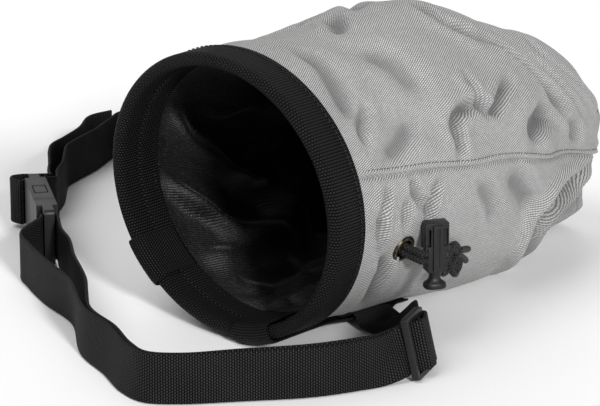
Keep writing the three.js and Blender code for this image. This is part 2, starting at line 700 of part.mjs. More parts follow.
// Shell, with the eyelet's hole, and lining
const shellOuter = inwardRings(() => 0);
const shellInner = inwardRings(() => shellWall);
const cordOffset = (cordDiameter + clothGap) / 2;
const eyeletBore = 2 * (cordOffset + cordDiameter / 2 + clothGap);
const barrelDiameter = eyeletBore + 2 * eyeletWall;
const eyeletSeat = onShell(eyeletAlong, eyeletAngle, 0);
const eyeletOut = onShell(eyeletAlong, eyeletAngle, 1).sub(eyeletSeat).normalize();
const eyeletTurn = new THREE.Quaternion().setFromUnitVectors(point(0, 1, 0), eyeletOut);
const eyeletHole = new THREE.CylinderGeometry(
  barrelDiameter / 2 + clothGap,
  barrelDiameter / 2 + clothGap,
  4 * shellWall,
  16,
);
eyeletHole.applyQuaternion(eyeletTurn).translate(...eyeletSeat.toArray());
const shell = toSolid(clothWall(shellOuter, shellInner)).subtract(toSolid(eyeletHole));
add(bag, "body_shell", toGeometry(shell), fabric.clone());

const hanging = (x, angle) => {
  const start = smoothstep(x, bodyStart, bodyStart + 0.7 * mouthRadius);
  const end = 1 - smoothstep(x, 0.7 * bagLength, 0.88 * bagLength);
  return foldDepth(sags, x, angle) * start * end;
};
const liningDepth = (x, angle) => {
  const free = clothGap * smoothstep(x, bodyStart, bodyStart + 0.2 * mouthRadius);
  const slack = free + liningSlack * smoothstep(x, 0.5 * bagLength, 0.8 * bagLength);
  return shellWall + clothGap + slack + hanging(x, angle);
};
const liningOuter = inwardRings(liningDepth);
const liningInner = inwardRings((x, angle) => liningDepth(x, angle) + liningWall);
add(bag, "lining", clothWall(liningOuter, liningInner), plush.clone());

add(bag, "rim_binding", bindingGeometry(), webbing.clone());
add(bag, "belt_loop_near", beltLoopGeometry(180 + backTurn - nearLoopAngle), webbing.clone());
add(bag, "belt_loop_far", beltLoopGeometry(180 + backTurn + farLoopAngle), webbing.clone());

// Belt with its slider and its fastened buckle
add(bag, "waist_belt", webbingGeometry(beltStations()), webbing.clone());
add(bag, "belt_slider", sliderGeometry(), plastic.clone());
add(bag, "buckle_plug", toGeometry(plugGeometry()).applyMatrix4(bucklePlace), plastic.clone());
const socket = toGeometry(socketSolid()).translate(socketStart, 0, 0);
add(bag, "buckle_socket", socket.applyMatrix4(bucklePlace), plastic.clone());

// Eyelet: a domed ring with a barrel through the shell
const eyeletRadius = eyeletDiameter / 2;
const eyeletProfile = [
  [eyeletBore / 2, -shellWall],
  [barrelDiameter / 2, -shellWall],
  [barrelDiameter / 2, clothGap],
  [eyeletRadius, clothGap],
  [0.97 * eyeletRadius, 0.6 * eyeletRise],
  [0.84 * eyeletRadius, eyeletRise],
  [0.72 * eyeletRadius, 0.9 * eyeletRise],
  [eyeletBore / 2, 0.5 * eyeletRise],
  [eyeletBore / 2, -shellWall],
].map(([radius, height]) => new THREE.Vector2(radius, height));
const eyelet = new THREE.LatheGeometry(eyeletProfile, 20);
eyelet.applyQuaternion(eyeletTurn).translate(...eyeletSeat.toArray());
add(bag, "eyelet", toGeometry(toSolid(eyelet)), brass);

// Cord lock: a hollow body that is open below, with a hole for the cord across it
const lockAlong = eyeletAlong + lockGap;
const lockSide = onShell(lockAlong, 97, clothGap).y - lockDepth / 2;
const lockBottom = lockLift - lockHeight / 2;
const holeHeight = lockBottom + cordHoleHeight;
const holeDepth = cordDiameter + 2 * clothGap;
const holeTall = 2 * (cordOffset + cordDiameter / 2 + clothGap);
const lockBox = (width, depth, low, high) =>
  toSolid(boxAt(width, depth, high - low, lockAlong, lockSide, (low + high) / 2));
const lockTop = lockBottom + lockHeight;
const lockHead = lockHeadShare * lockHeight;
const boreTop = lockTop - lockRoof;
const lockBody = lockBox(lockWaist, lockDepth, lockBottom, lockTop)
  .add(lockBox(lockWidth, lockDepth, lockTop - lockHead, lockTop))
  .subtract(lockBox(stemWidth + 2 * fitClearance, stemDepth + 2 * fitClearance, lockBottom - 1, boreTop))
  .subtract(lockBox(2 * lockWidth, holeDepth, holeHeight - holeTall / 2, holeHeight + holeTall / 2));
add(bag, "lock_body", toGeometry(lockBody), plastic.clone());

// Plunger: it presses up into the body. Its slot lets the cord through over the whole travel.
const headTop = lockBottom - plungerTravel - 2 * fitClearance;
const slotLow = holeHeight - holeTall / 2 - plungerTravel;
const plunger = lockBox(stemWidth, stemDepth, headTop - 1, boreTop - plungerTravel - fitClearance)
  .add(lockBox(plungerHeadWidth, lockDepth, headTop - plungerHead, headTop))
  .subtract(lockBox(2 * lockWidth, holeDepth, slotLow, holeHeight + holeTall / 2));
add(bag, "lock_plunger", toGeometry(plunger), plastic.clone());

// Drawcord: two strands out of the eyelet and through the lock, to a knot with two short tails
const knotAlong = lockAlong + knotGap;
const knotPlace = onShell(knotAlong, 117, knotDiameter / 2 + clothGap);
const cordShape = new THREE.Shape(
  Array.from({ length: 8 }, (_, k) => {
    const turn = (k / 8) * 2 * Math.PI;
    return new THREE.Vector2((Math.cos(turn) * cordDiameter) / 2, (Math.sin(turn) * cordDiameter) / 2);
  }),
);
const cord = (points, steps) =>
  new THREE.ExtrudeGeometry(cordShape, {
    steps,
    bevelEnabled: false,
    extrudePath: new THREE.CatmullRomCurve3(points, false, "centripetal"),
  });
function strand(side) {
  const offset = side * cordOffset;
  const across = up.clone().addScaledVector(eyeletOut, -up.dot(eyeletOut)).setLength(offset);
  const out = (d) => eyeletSeat.clone().addScaledVector(eyeletOut, d).add(across);
  const inLock = (x) => point(lockAlong + x, lockSide, holeHeight + offset);
  const toKnot = knotPlace.clone().sub(inLock(lockWaist / 2 + 2)).normalize();
  const end = knotPlace.clone().addScaledVector(toKnot, -knotDiameter / 2 - 3 * clothGap);
  return cord(
    [
      out(-shellWall),
      out(eyeletRise),
      out(0.4 * lockDepth).add(point(1.4, 0, 0)),
      inLock(-lockWidth / 2 - 1),
      inLock(0),
      inLock(lockWidth / 2 + 0.6),
      end.add(point(0, 0, offset)),
    ],
    12,
  );
}
add(bag, "drawcord_upper", strand(1), braid.clone());
add(bag, "drawcord_lower", strand(-1), braid.clone());

const knot = new THREE.SphereGeometry(knotDiameter / 2, 10, 7).translate(...knotPlace.toArray());
const tail = (drop) => {
  const path = [0, 0.4, 0.75, 1].map((t) =>
    knotPlace.clone().add(point(t * (knotDiameter / 2 + tailLength), 0, -drop * tailLength * t * t)),
  );
  return cord(path, 5);
};
add(bag, "cord_knot", toGeometry(joinSolids(knot, tail(0), tail(0.5))), braid.clone());

export default bag;
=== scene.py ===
"""A climbing chalk bag with its waist belt, lying on its back.

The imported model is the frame. Every piece is worked out in millimetres, X along the bag from its mouth to its
closed end, +Z up, and is written to its mesh in metres.
"""
import math

import bmesh
import bpy
import numpy as np
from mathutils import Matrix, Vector


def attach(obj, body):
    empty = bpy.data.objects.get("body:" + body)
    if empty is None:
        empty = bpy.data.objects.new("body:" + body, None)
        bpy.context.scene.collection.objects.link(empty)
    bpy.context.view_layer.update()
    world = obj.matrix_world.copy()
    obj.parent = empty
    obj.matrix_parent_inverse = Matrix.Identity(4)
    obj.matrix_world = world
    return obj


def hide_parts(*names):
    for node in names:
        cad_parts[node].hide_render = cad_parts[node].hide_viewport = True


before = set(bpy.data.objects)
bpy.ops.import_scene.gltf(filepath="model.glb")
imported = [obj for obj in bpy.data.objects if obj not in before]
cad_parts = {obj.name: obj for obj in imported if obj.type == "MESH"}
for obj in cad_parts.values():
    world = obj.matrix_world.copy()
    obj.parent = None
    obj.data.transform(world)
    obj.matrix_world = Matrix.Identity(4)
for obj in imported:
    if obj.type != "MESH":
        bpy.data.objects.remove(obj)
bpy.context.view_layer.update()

# Camera, floor and light. The bag lies on a pale studio table. A soft key light stands low over the camera's right
# shoulder, a broad one hangs overhead, a faint one stands behind, and the pale surroundings fill in the rest.
target = Vector((-0.09988, -0.02335, 0.05869))
azimuth, elevation, camera_distance = math.radians(313), math.radians(18), 1.4
back = Vector(
    (math.sin(azimuth) * math.cos(elevation), -math.cos(azimuth) * math.cos(elevation), math.sin(elevation))
)
camera_data = bpy.data.cameras.new("camera")
camera_data.lens = 215
camera_data.sensor_width = 36
camera_data.clip_end = 20
camera = bpy.data.objects.new("camera", camera_data)
camera.location = target + camera_distance * back
camera.rotation_euler = back.to_track_quat("Z", "Y").to_euler()
bpy.context.scene.collection.objects.link(camera)
bpy.context.scene.camera = camera
bpy.context.scene.view_settings.view_transform = "Standard"


class Shade:
    """A socket of a finish's nodes. Sums on it become nodes, and so do the nodes that it is passed to."""

    def __init__(self, tree, socket=None):
        self.tree = tree
        self.socket = socket

    def node(self, kind, settings, inputs, output=0):
        node = self.tree.nodes.new(kind)
        for name, value in settings.items():
            if name == "stops":
                while len(node.color_ramp.elements) < len(value):
                    node.color_ramp.elements.new(0.5)
                for stop, (place, tone) in zip(node.color_ramp.elements, value):
                    stop.position = place
                    stop.color = tone
            else:
                setattr(node, name, value)
        for name, value in inputs.items():
            if isinstance(value, Shade):
                self.tree.links.new(value.socket, node.inputs[name])
            else:
                node.inputs[name].default_value = value
        return Shade(self.tree, node.outputs[output])

    def math(self, operation, *values):
        return self.node("ShaderNodeMath", {"operation": operation}, dict(enumerate(values)))

    def __add__(self, other):
        return self.math("ADD", self, other)

    def __sub__(self, other):
        return self.math("SUBTRACT", self, other)

    def __rsub__(self, other):
        return self.math("SUBTRACT", other, self)

    def __mul__(self, other):
        return self.math("MULTIPLY", self, other)

    def __truediv__(self, other):
        return self.math("DIVIDE", self, other)

    def __pow__(self, other):
        return self.math("POWER", self, other)

    __radd__ = __add__
    __rmul__ = __mul__

    def clipped(self, low, high):
        """From 0 at low to 1 at high."""
        return self.node("ShaderNodeMapRange", {}, {"Value": self, "From Min": low, "From Max": high})

    def blend(self, dark, light):
        """The colour dark where this is 0 and light where it is 1."""
        tones = {0: self, 6: dark, 7: light}
        return self.node("ShaderNodeMix", {"data_type": "RGBA", "clamp_factor": True}, tones, 2)

    def noise(self, scale, detail=2.0, rough=0.5):
        """Soft noise over the coordinates that this holds."""
        grain = {"Vector": self, "Scale": scale, "Detail": detail, "Roughness": rough}
        return self.node("ShaderNodeTexNoise", {}, grain)

    def bump(self, strength, depth):
        """The normal of a surface with this relief, depth metres from 0 to 1."""
        return self.node("ShaderNodeBump", {}, {"Height": self, "Strength": strength, "Distance": depth})


class Finish:
    """A material: its Principled shader, the places on the piece, and the map of its cloth in metres."""

    def __init__(self, name, **values):
        self.material = bpy.data.materials.new(name)
        self.material.use_nodes = True
        self.tree = self.material.node_tree
        self.shader = self.tree.nodes["Principled BSDF"]
        for name, value in values.items():
            self.shader.inputs[name.replace("_", " ")].default_value = value
        start = Shade(self.tree)
        self.place = start.node("ShaderNodeTexCoord", {}, {}, "Object")
        self.map = start.node("ShaderNodeUVMap", {"uv_map": "Cloth"}, {}, 0)

    def map_axes(self):
        """How far along and across the cloth a point is, in metres."""
        return [self.map.node("ShaderNodeSeparateXYZ", {}, {0: self.map}, axis) for axis in (0, 1)]

    def feed(self, **sockets):
        for name, value in sockets.items():
            self.tree.links.new(value.socket, self.shader.inputs[name.replace("_", " ")])
        return self.material


def grey(value, warm=0.0):
    return (value * (1 + warm), value, value * (1 - warm), 1.0)


table_finish = Finish("table_paper", Roughness=0.85)
fibre = table_finish.place.noise(900, 3)
table_paper = table_finish.feed(
    Base_Color=fibre.blend(grey(0.93), grey(0.97)), Normal=fibre.bump(0.05, 0.0001)
)
floor_mesh = bpy.data.meshes.new("floor")
floor_half = 4
floor_corners = [(x * floor_half, y * floor_half, 0) for x, y in ((-1, -1), (1, -1), (1, 1), (-1, 1))]
floor_mesh.from_pydata(floor_corners, [], [(0, 1, 2, 3)])
floor = bpy.data.objects.new("floor", floor_mesh)
floor.data.materials.append(table_paper)
bpy.context.scene.collection.objects.link(floor)

world = bpy.data.worlds.new("studio")
world.use_nodes = True
world.node_tree.nodes["Background"].inputs["Color"].default_value = (1, 1, 1, 1)
world.node_tree.nodes["Background"].inputs["Strength"].default_value = 0.3
bpy.context.scene.world = world
for name, turn, lift, softness, power in [
    # degrees from the camera, above the floor and across the light
    ("key", 22, 24, 8, 2.7),
    ("overhead", -50, 58, 40, 1.0),
    ("rear", 195, 45, 60, 0.7),
]:
    lamp = bpy.data.lights.new(name, "SUN")
    lamp.angle = math.radians(softness)
    lamp.energy = power
    a, e = azimuth + math.radians(turn), math.radians(lift)
    towards = Vector((math.sin(a) * math.cos(e), -math.cos(a) * math.cos(e), math.sin(e)))
    light = bpy.data.objects.new(name, lamp)
    light.location = target + towards
    light.rotation_euler = towards.to_track_quat("Z", "Y").to_euler()
    bpy.context.scene.collection.objects.link(light)

# Drawcord. A braided cord, 2.8 mm thick, runs in the hem under the rim binding. Both ends leave through the eyelet
# and the cord lock, are tied together in an overhand knot, and end in short tails.
cord_radius = 1.4
cord_offset = 1.575
eyelet_seat = np.array([-77.13, -56.85, 42.16])
eyelet_out = np.array([0.0, -0.94, -0.342])
lock_middle = np.array([-66.46, -63.70, 38.8])  # of its cord hole
knot_middle = np.array([-51.6, -60.4, 32.1])


def through(points, step, stiff=0.5):
    """A smooth curve through points, in equal steps, with the length along it."""
    points = np.asarray(points, float)
    ends = [2 * points[0] - points[1], *points, 2 * points[-1] - points[-2]]
    fine = []
    for p0, p1, p2, p3 in zip(ends, ends[1:], ends[2:], ends[3:]):
        d0, d1, d2 = [max(np.linalg.norm(b - a), 1e-3) ** stiff for a, b in ((p0, p1), (p1, p2), (p2, p3))]
        t1 = ((p1 - p0) / d0 - (p2 - p0) / (d0 + d1) + (p2 - p1) / d1) * d1
        t2 = ((p2 - p1) / d1 - (p3 - p1) / (d1 + d2) + (p3 - p2) / d2) * d1
        t = np.linspace(0, 1, 24, endpoint=False)[:, None]
        cube, square = t**3, t**2
        fine.append(
            p1 * (2 * cube - 3 * square + 1)
            + t1 * (cube - 2 * square + t)
            + p2 * (3 * square - 2 * cube)
            + t2 * (cube - square)
        )
    fine = np.vstack([*fine, points[-1:]])
    run = np.concatenate([[0], np.cumsum(np.linalg.norm(np.diff(fine[:, :3], axis=0), axis=1))])
    at = np.linspace(0, run[-1], max(int(run[-1] / step), 3) + 1)
    return np.stack([np.interp(at, run, column) for column in fine.T], axis=1), at


def surface(name, points, along, across, round_rows=False, round_columns=True, capped=False):
    """A mesh through rows of points, with its map in metres. Where it closes on itself, the map goes one further."""
    rows, columns = points.shape[:2]
    a, b = np.meshgrid(
        np.arange(rows if round_rows else rows - 1),
        np.arange(columns if round_columns else columns - 1),
        indexing="ij",
    )
    a, b = a.ravel(), b.ravel()
    corners = [(a, b), (a, b + 1), (a + 1, b + 1), (a + 1, b)]
    faces = np.stack([(i % rows) * columns + j % columns for i, j in corners], axis=1).tolist()
    cloth = np.stack([np.stack([along[i, j], across[i, j]], axis=1) for i, j in corners], axis=1).reshape(-1, 2)
    if capped:
        last = (rows - 1) * columns
        faces += [list(range(columns))[::-1], list(range(last, last + columns))]
        ends = [np.stack([along[k, :columns], across[k, :columns]], axis=1) for k in (0, rows - 1)]
        cloth = np.vstack([cloth, ends[0][::-1], ends[1]])
    mesh = bpy.data.meshes.new(name)
    mesh.from_pydata((points.reshape(-1, 3) * 0.001).tolist(), [], faces)
    mesh.uv_layers.new(name="Cloth").data.foreach_set("uv", (cloth * 0.001).astype(np.float32).ravel())
    mesh.shade_smooth()
    mesh.update()
    return mesh


def piece(name, mesh, material, slot, *nodes, body="bag"):
    """A finished piece of the bag, which stands for CAD nodes and takes the finish given to it; its slot is not used.
    """
    made = bpy.data.objects.new(name, mesh)
    bpy.context.scene.collection.objects.link(made)
    if not mesh.materials:
        mesh.materials.append(material)
    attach(made, body)
    if nodes:
        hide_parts(*nodes)
    return made


def tube(name, path, radius, sides=14, swell=None):
    """A round cord along a path, with closed ends, and its map along and round it."""
    forward = np.gradient(path, axis=0)
    forward /= np.linalg.norm(forward, axis=1, keepdims=True)
    side = np.cross(forward[0], [0, 0, 1.0])
    if np.linalg.norm(side) < 0.1:
        side = np.cross(forward[0], [1.0, 0, 0])
    rings, turn = [], np.arange(sides) * 2 * np.pi / sides
    for k, (centre, ahead) in enumerate(zip(path, forward)):
        side = side - ahead * (side @ ahead)
        side /= np.linalg.norm(side)
        r = radius if swell is None else radius * swell[k]
        rings.append(centre + r * (np.outer(np.cos(turn), side) + np.outer(np.sin(turn), np.cross(ahead, side))))
    run = np.concatenate([[0], np.cumsum(np.linalg.norm(np.diff(path, axis=0), axis=1))])
    along = np.repeat(run[:, None], sides + 1, axis=1)
    across = np.repeat((np.arange(sides + 1) * 2 * np.pi * radius / sides)[None], len(path), axis=0)
    return surface(name, np.array(rings), along, across, capped=True)


def braid_finish(name, dark, light, rise):
    """A round braid: slanting strands that pass over and under each other."""
    finish = Finish(name, Roughness=0.55, Sheen_Weight=0.05, Sheen_Roughness=0.4, Specular_IOR_Level=0.2)
    along, across = finish.map_axes()
    pitch, strands = 0.0013, 8
    apart = 2 * (2 * math.pi * 0.001 * cord_radius / strands)
    one = (along / pitch + across / apart) * (2 * math.pi)
    two = (along / pitch - across / apart) * (2 * math.pi)
    over = one.math("SINE", one) * 0.5 + 0.5
    under = two.math("SINE", two) * 0.5 + 0.5
    strand = over.math("MAXIMUM", over, under) ** 1.6
    thread = finish.place.noise(2600, 2)
    relief = strand + thread * 0.35
    tone = ((strand * 0.8 + thread * 0.35) ** 2.0).blend(dark, light)
    return finish.feed(Base_Color=tone, Normal=relief.bump(0.9, rise))


cord_braid = braid_finish("braided_cord", grey(0.0005), grey(0.024), 0.0004)


def knot_turns(side):
    """An overhand knot that lies upright, its two ends leaving towards the lock and towards the tails."""
    t = np.linspace(-1.93, 1.93, 15)
    lie = np.stack([t**3 - 3 * t, t**4 - 4 * t**2 + 2.0, 0.42 * (t**5 - 10 * t) / 6], axis=1)
    along = np.array([0.93, 0.2, -0.25])
    along /= np.linalg.norm(along)
    out = np.cross(along, [0, 0, 1.0])
    out /= np.linalg.norm(out)
    up = np.cross(out, along)
    turns = lie * [2.0, 2.5, 1.85]
    return knot_middle + turns @ np.array([along, up, out]) + side * (0.9 * up + 0.75 * along)


for side, name in ((1, "drawcord_upper"), (-1, "drawcord_lower")):
    offset = side * cord_offset * np.array([0, -0.342, 0.94])
    shift = np.array([0, 0, side * cord_offset])
    knot = knot_turns(side)
    tail_end = knot[-1] + np.array([7.6, 1.6, -1.4 - 3.0 * (side < 0)])
    route = [
        eyelet_seat - 1.5 * eyelet_out + offset,
        eyelet_seat + 1.2 * eyelet_out + offset,
        eyelet_seat + 3.4 * eyelet_out + offset + [1.6, 0, -0.4],
        lock_middle + [-6.4, 0, 0] + shift,
        lock_middle + shift,
        lock_middle + [6.1, 0, 0] + shift,
        *knot,
        knot[-1] + np.array([3.6, 0.8, -0.5 - 1.0 * (side < 0)]),
        tail_end,
    ]
    path, run = through(route, 0.55)
    swell = 1 - 0.12 * np.exp(-(((run[-1] - run) / 0.5) ** 2))
    strand = piece(name + "_braid", tube(name + "_braid", path, cord_radius, 14, swell), cord_braid, "braid", name)
    if side > 0:
        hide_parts("cord_knot")

# Shell. The body of the bag is light grey polyester twill. A front and a back panel are joined by a lapped seam
# down each side, top-stitched above its edge, and a small end panel closes the bag. Loose cloth, so it creases.
bag_length, mouth_radius, mouth_oval = 216.0, 58.75, 123.5 / 117.5
rest_along = 0.56 * bag_length
shell_mouth, ring_height, body_start, under_stack = 57.2, 60.3, 24.0, 4.05
cloth_radius, shell_map_radius, cap_step = 55.0, 57, 2.2  # one turn of the cloth as a length, and its rows at the end
section = np.array(
    [
        # at, middle, then reach: top, near top, near, near low, low, far low, far, far top
        [0.125, 1.025, 0.96, 0.96, 0.965, 0.965, 0.965, 0.965, 0.965, 0.96],
        [0.208, 1.025, 0.93, 0.945, 0.97, 0.97, 1.02, 0.97, 0.97, 0.94],
        [0.3, 1.025, 0.955, 0.97, 0.98, 0.985, 1.05, 0.98, 0.98, 0.965],
        [0.38, 1.02, 1.005, 0.995, 0.975, 0.995, 1.06, 1.0, 0.98, 0.99],
        [0.472, 0.985, 1.03, 0.985, 0.95, 0.99, 1.07, 1.01, 0.98, 1.0],
        [0.54, 0.95, 1.04, 0.975, 0.915, 0.98, 1.06, 1.01, 0.98, 1.005],
        [0.61, 0.9, 1.015, 0.935, 0.865, 0.94, 1.02, 1.0, 0.97, 0.965],
        [0.68, 0.85, 0.95, 0.88, 0.79, 0.88, 0.95, 0.96, 0.935, 0.91],
        [0.755, 0.783, 0.895, 0.81, 0.705, 0.75, 0.86, 0.91, 0.885, 0.865],
        [0.81, 0.74, 0.865, 0.765, 0.638, 0.63, 0.79, 0.85, 0.835, 0.82],
        [0.866, 0.715, 0.81, 0.7, 0.565, 0.55, 0.74, 0.78, 0.78, 0.76],
        [0.926, 0.68, 0.69, 0.59, 0.47, 0.53, 0.68, 0.72, 0.71, 0.71],
        [0.972, 0.665, 0.54, 0.46, 0.38, 0.5, 0.62, 0.6, 0.58, 0.63],
    ]
)
folds = np.array(
    [
        # at, angle from the top, length, width, slant, depth
        [0.3, 62, 0.13, 0.14, 12, 0.03],
        [0.3, 88, 0.1, 0.12, -8, 0.035],
        [0.52, 42, 0.1, 0.16, 62, 0.05],
        [0.7, 62, 0.1, 0.17, 75, 0.07],
        [0.78, 22, 0.12, 0.13, 20, 0.05],
        [0.82, 350, 0.13, 0.15, -12, 0.05],
        [0.62, 118, 0.12, 0.16, 40, 0.05],
        [0.5, 285, 0.14, 0.2, 10, 0.05],
    ]
)
end_dents = [(-0.15, 0.5, 0.4, 0.24, 0.22), (-0.5, 0.36, 0.24, 0.24, 0.12)]  # across, up, width, height, depth


def ease(x, low, high):
    t = np.clip((x - low) / (high - low), 0, 1)
    return t * t * (3 - 2 * t)


def smooth(xs, ys, x):
    """The value at x of a smooth curve through the points (xs, ys)."""
    last = len(xs) - 1
    k = np.clip(np.searchsorted(xs, x, side="right") - 1, 0, last - 1)
    around = [(max(j - 1, 0), min(j + 1, last)) for j in range(last + 1)]
    slopes = np.array([(ys[after] - ys[before]) / (xs[after] - xs[before]) for before, after in around])
    width = xs[k + 1] - xs[k]
    t = np.clip((x - xs[k]) / width, 0, 1)
    bend = width * t * (1 - t) * ((1 - t) * slopes[k] - t * slopes[k + 1])
    return ys[k] + (ys[k + 1] - ys[k]) * t * t * (3 - 2 * t) + bend


def reach(x, angle):
    """How far the cloth is from the middle of its section, in the direction angle."""
    share = x / bag_length
    sides = np.stack([smooth(section[:, 0], section[:, k], share) for k in range(2, 10)], axis=-1)
    turn = (angle % 360) / 45
    first = np.floor(turn).astype(int)
    t = turn - first
    before, here, after, beyond = [
        np.take_along_axis(sides, ((first + k) % 8)[..., None], axis=-1)[..., 0] for k in (-1, 0, 1, 2)
    ]
    bend = t * (1 - t)
    rise = here + (after - here) * t * t * (3 - 2 * t)
    return (rise + bend * ((1 - t) * (after - before) / 2 - t * (beyond - here) / 2)) * mouth_radius


def fold_depth(rows, x, angle):
    total = 0
    for at, middle, long, short, slant, depth in rows:
        along = x - at * bag_length
        round_bag = np.radians((angle - middle + 540) % 360 - 180) * mouth_radius
        c, s = math.cos(math.radians(slant)), math.sin(math.radians(slant))
        a = (along * c + round_bag * s) / (long * bag_length)
        b = (round_bag * c - along * s) / (short * mouth_radius)
        total = total + depth * mouth_radius * np.exp(-a * a - b * b)
    return total


def lean(x, z):
    return (z - ring_height) * math.tan(math.radians(3)) * (1 - ease(x, body_start, bag_length / 2))


def on_shell(x, angle, shrink=1.0, push=0.0):
    """Points of the outside of the shell, x from the lip and angle in degrees from the top to the near side."""
    free = ease(x, body_start, body_start + 0.6 * mouth_radius)
    middle = ring_height + (smooth(section[:, 0], section[:, 1], x / bag_length) * mouth_radius - ring_height) * free
    loose = reach(x, angle) - fold_depth(folds, x, angle)
    out = (shell_mouth + (loose - shell_mouth) * free) * shrink
    turn = np.radians(angle)
    y = -out * mouth_oval * np.sin(turn)
    low = under_stack * ease(x, body_start, 45) * (1 - ease(x, 84, 116))
    z = np.maximum(middle + out * np.cos(turn), low)
    pushed = 0
    for across, up, width, height, depth in end_dents:
        a = (y / mouth_radius - across) / width
        b = (z / mouth_radius - up) / height
        pushed = pushed + depth * mouth_radius * np.exp(-a * a - b * b)
    pushed = pushed * ease(x, 0.75 * bag_length, bag_length)
    return np.stack([x + push - lean(x, z) - pushed - rest_along, y, z], axis=-1)


def normals(points):
    """The directions out of a bag-like grid of points, rows along the bag and columns round it."""
    along = np.gradient(points, axis=0)
    wide = np.concatenate([points[:, -1:], points, points[:, :1]], axis=1)
    out = np.cross(wide[:, 2:] - wide[:, :-2], along)
    size = np.linalg.norm(out, axis=-1, keepdims=True)
    return out / np.maximum(size, 1e-9)


def crease_depth(rows, x, angle, about):
    """How far traced creases pull the cloth in. A row is a width, a depth and the points that it follows."""
    total = np.zeros_like(x)
    across = np.radians((angle - about + 540) % 360 - 180) * cloth_radius
    for width, depth, points in rows:
        traced = [
            (at * bag_length, math.radians((a - about + 540) % 360 - 180) * cloth_radius, 0.0) for at, a in points
        ]
        line, run = through(traced, 2.5)
        best, place = np.full(x.shape, 1e9), np.zeros_like(x)
        for k in range(len(line) - 1):
            ax, ay = line[k, :2]
            dx, dy = line[k + 1, :2] - line[k, :2]
            t = np.clip(((x - ax) * dx + (across - ay) * dy) / (dx * dx + dy * dy + 1e-9), 0, 1)
            gap = np.hypot(x - ax - t * dx, across - ay - t * dy)
            closer = gap < best
            best = np.where(closer, gap, best)
            place = np.where(closer, (k + t) / (len(line) - 1), place)
        fade = ease(place, -0.02, 0.22) * (1 - ease(place, 0.78, 1.02))
        valley = np.exp(-((best / width) ** 2)) - 0.45 * np.exp(-(((best - 2.0 * width) / width) ** 2))
        total = total + depth * valley * (0.25 + 0.75 * fade)
    return total


def seam_angle(x):
    """Where the lapped seam's edge runs on the near side, in degrees from the top."""
    at = np.array([0.08, 0.194, 0.269, 0.38, 0.468, 0.597, 0.662, 0.759, 0.833, 0.99])
    return smooth(at, np.array([72.5, 76, 78, 82, 82, 84, 85, 83, 84, 86]), x / bag_length)


near_creases = [
    # width, depth, then the points that the crease follows: share of the length, angle
    (2.3, 3.2, [(0.449, 45), (0.441, 51), (0.444, 56), (0.451, 62)]),
    (2.2, 3.0, [(0.58, 47), (0.54, 53), (0.5, 59), (0.482, 62), (0.452, 62.5)]),
    (2.4, 3.4, [(0.448, 60), (0.415, 59), (0.384, 60), (0.363, 63.5), (0.358, 68), (0.36, 72), (0.352, 77)]),
    (2.2, 2.2, [(0.188, 44), (0.16, 51), (0.137, 56), (0.13, 63)]),
    (5.0, 4.0, [(0.71, 58), (0.66, 64), (0.61, 70), (0.59, 76)]),
    (4.0, 2.2, [(0.8, 63), (0.79, 69), (0.782, 76)]),
    (2.3, 3.0, [(0.579, 26), (0.635, 34), (0.69, 43), (0.736, 54), (0.773, 66)]),
    (2.2, 2.6, [(0.7, 12), (0.725, 26), (0.75, 38), (0.79, 51), (0.838, 62)]),
    (2.2, 2.4, [(0.8, 10), (0.812, 26), (0.85, 38), (0.898, 48), (0.95, 58)]),
    (2.8, 3.0, [(0.53, -2), (0.505, 10), (0.51, 18), (0.546, 25), (0.579, 29)]),
    (3.0, 2.6, [(0.35, -12), (0.325, -2), (0.296, 6)]),
    (5.0, 2.4, [(0.17, 8), (0.165, 24), (0.14, 40), (0.13, 54)]),
    (5.5, 1.8, [(0.28, 20), (0.306, 34), (0.312, 48)]),
    (4.0, 2.0, [(0.165, 69), (0.22, 65), (0.275, 58)]),
    (2.0, 2.2, [(0.155, 79), (0.146, 84), (0.132, 90), (0.126, 98)]),
    (2.0, 2.3, [(0.222, 79), (0.22, 84), (0.238, 90), (0.25, 95)]),
    (2.2, 2.4, [(0.3, 84), (0.276, 89), (0.262, 95), (0.256, 101)]),
    (2.0, 1.7, [(0.206, 87), (0.193, 93), (0.2, 100)]),
    (2.2, 2.0, [(0.118, 90), (0.128, 99), (0.135, 109)]),
    (3.2, 3.6, [(0.155, 107), (0.156, 118), (0.165, 132), (0.19, 150)]),
    (3.5, 2.0, [(0.4, 90), (0.44, 100), (0.46, 111)]),
    (5.0, 2.2, [(0.5, 90), (0.55, 98), (0.6, 108)]),
    (3.8, 8.5, [(0.92, 88), (0.86, 93), (0.79, 99), (0.72, 104), (0.67, 110), (0.64, 118), (0.63, 128), (0.67, 148)]),
    (3.5, 3.6, [(0.95, 104), (0.89, 113), (0.83, 124), (0.79, 140)]),
]
far_creases = [
    (3.0, 2.6, [(0.2, 290), (0.26, 284), (0.33, 285), (0.4, 278)]),
    (3.0, 2.8, [(0.45, 310), (0.5, 300), (0.52, 288), (0.6, 282)]),
    (4.0, 3.2, [(0.7, 330), (0.74, 315), (0.78, 300), (0.83, 290)]),
    (4.0, 3.6, [(0.66, 240), (0.72, 252), (0.8, 258), (0.9, 270)]),
    (3.0, 2.4, [(0.3, 250), (0.36, 258), (0.42, 262)]),
    (3.0, 2.0, [(0.24, 330), (0.28, 338), (0.34, 342)]),
    (3.5, 2.4, [(0.4, 352), (0.45, 345), (0.47, 332)]),
]


def pulled_in(x, angle):
    """How far all the creases of the shell pull the cloth in."""
    return crease_depth(near_creases, x, angle, 60) * 1.3 + crease_depth(far_creases, x, angle, 290)


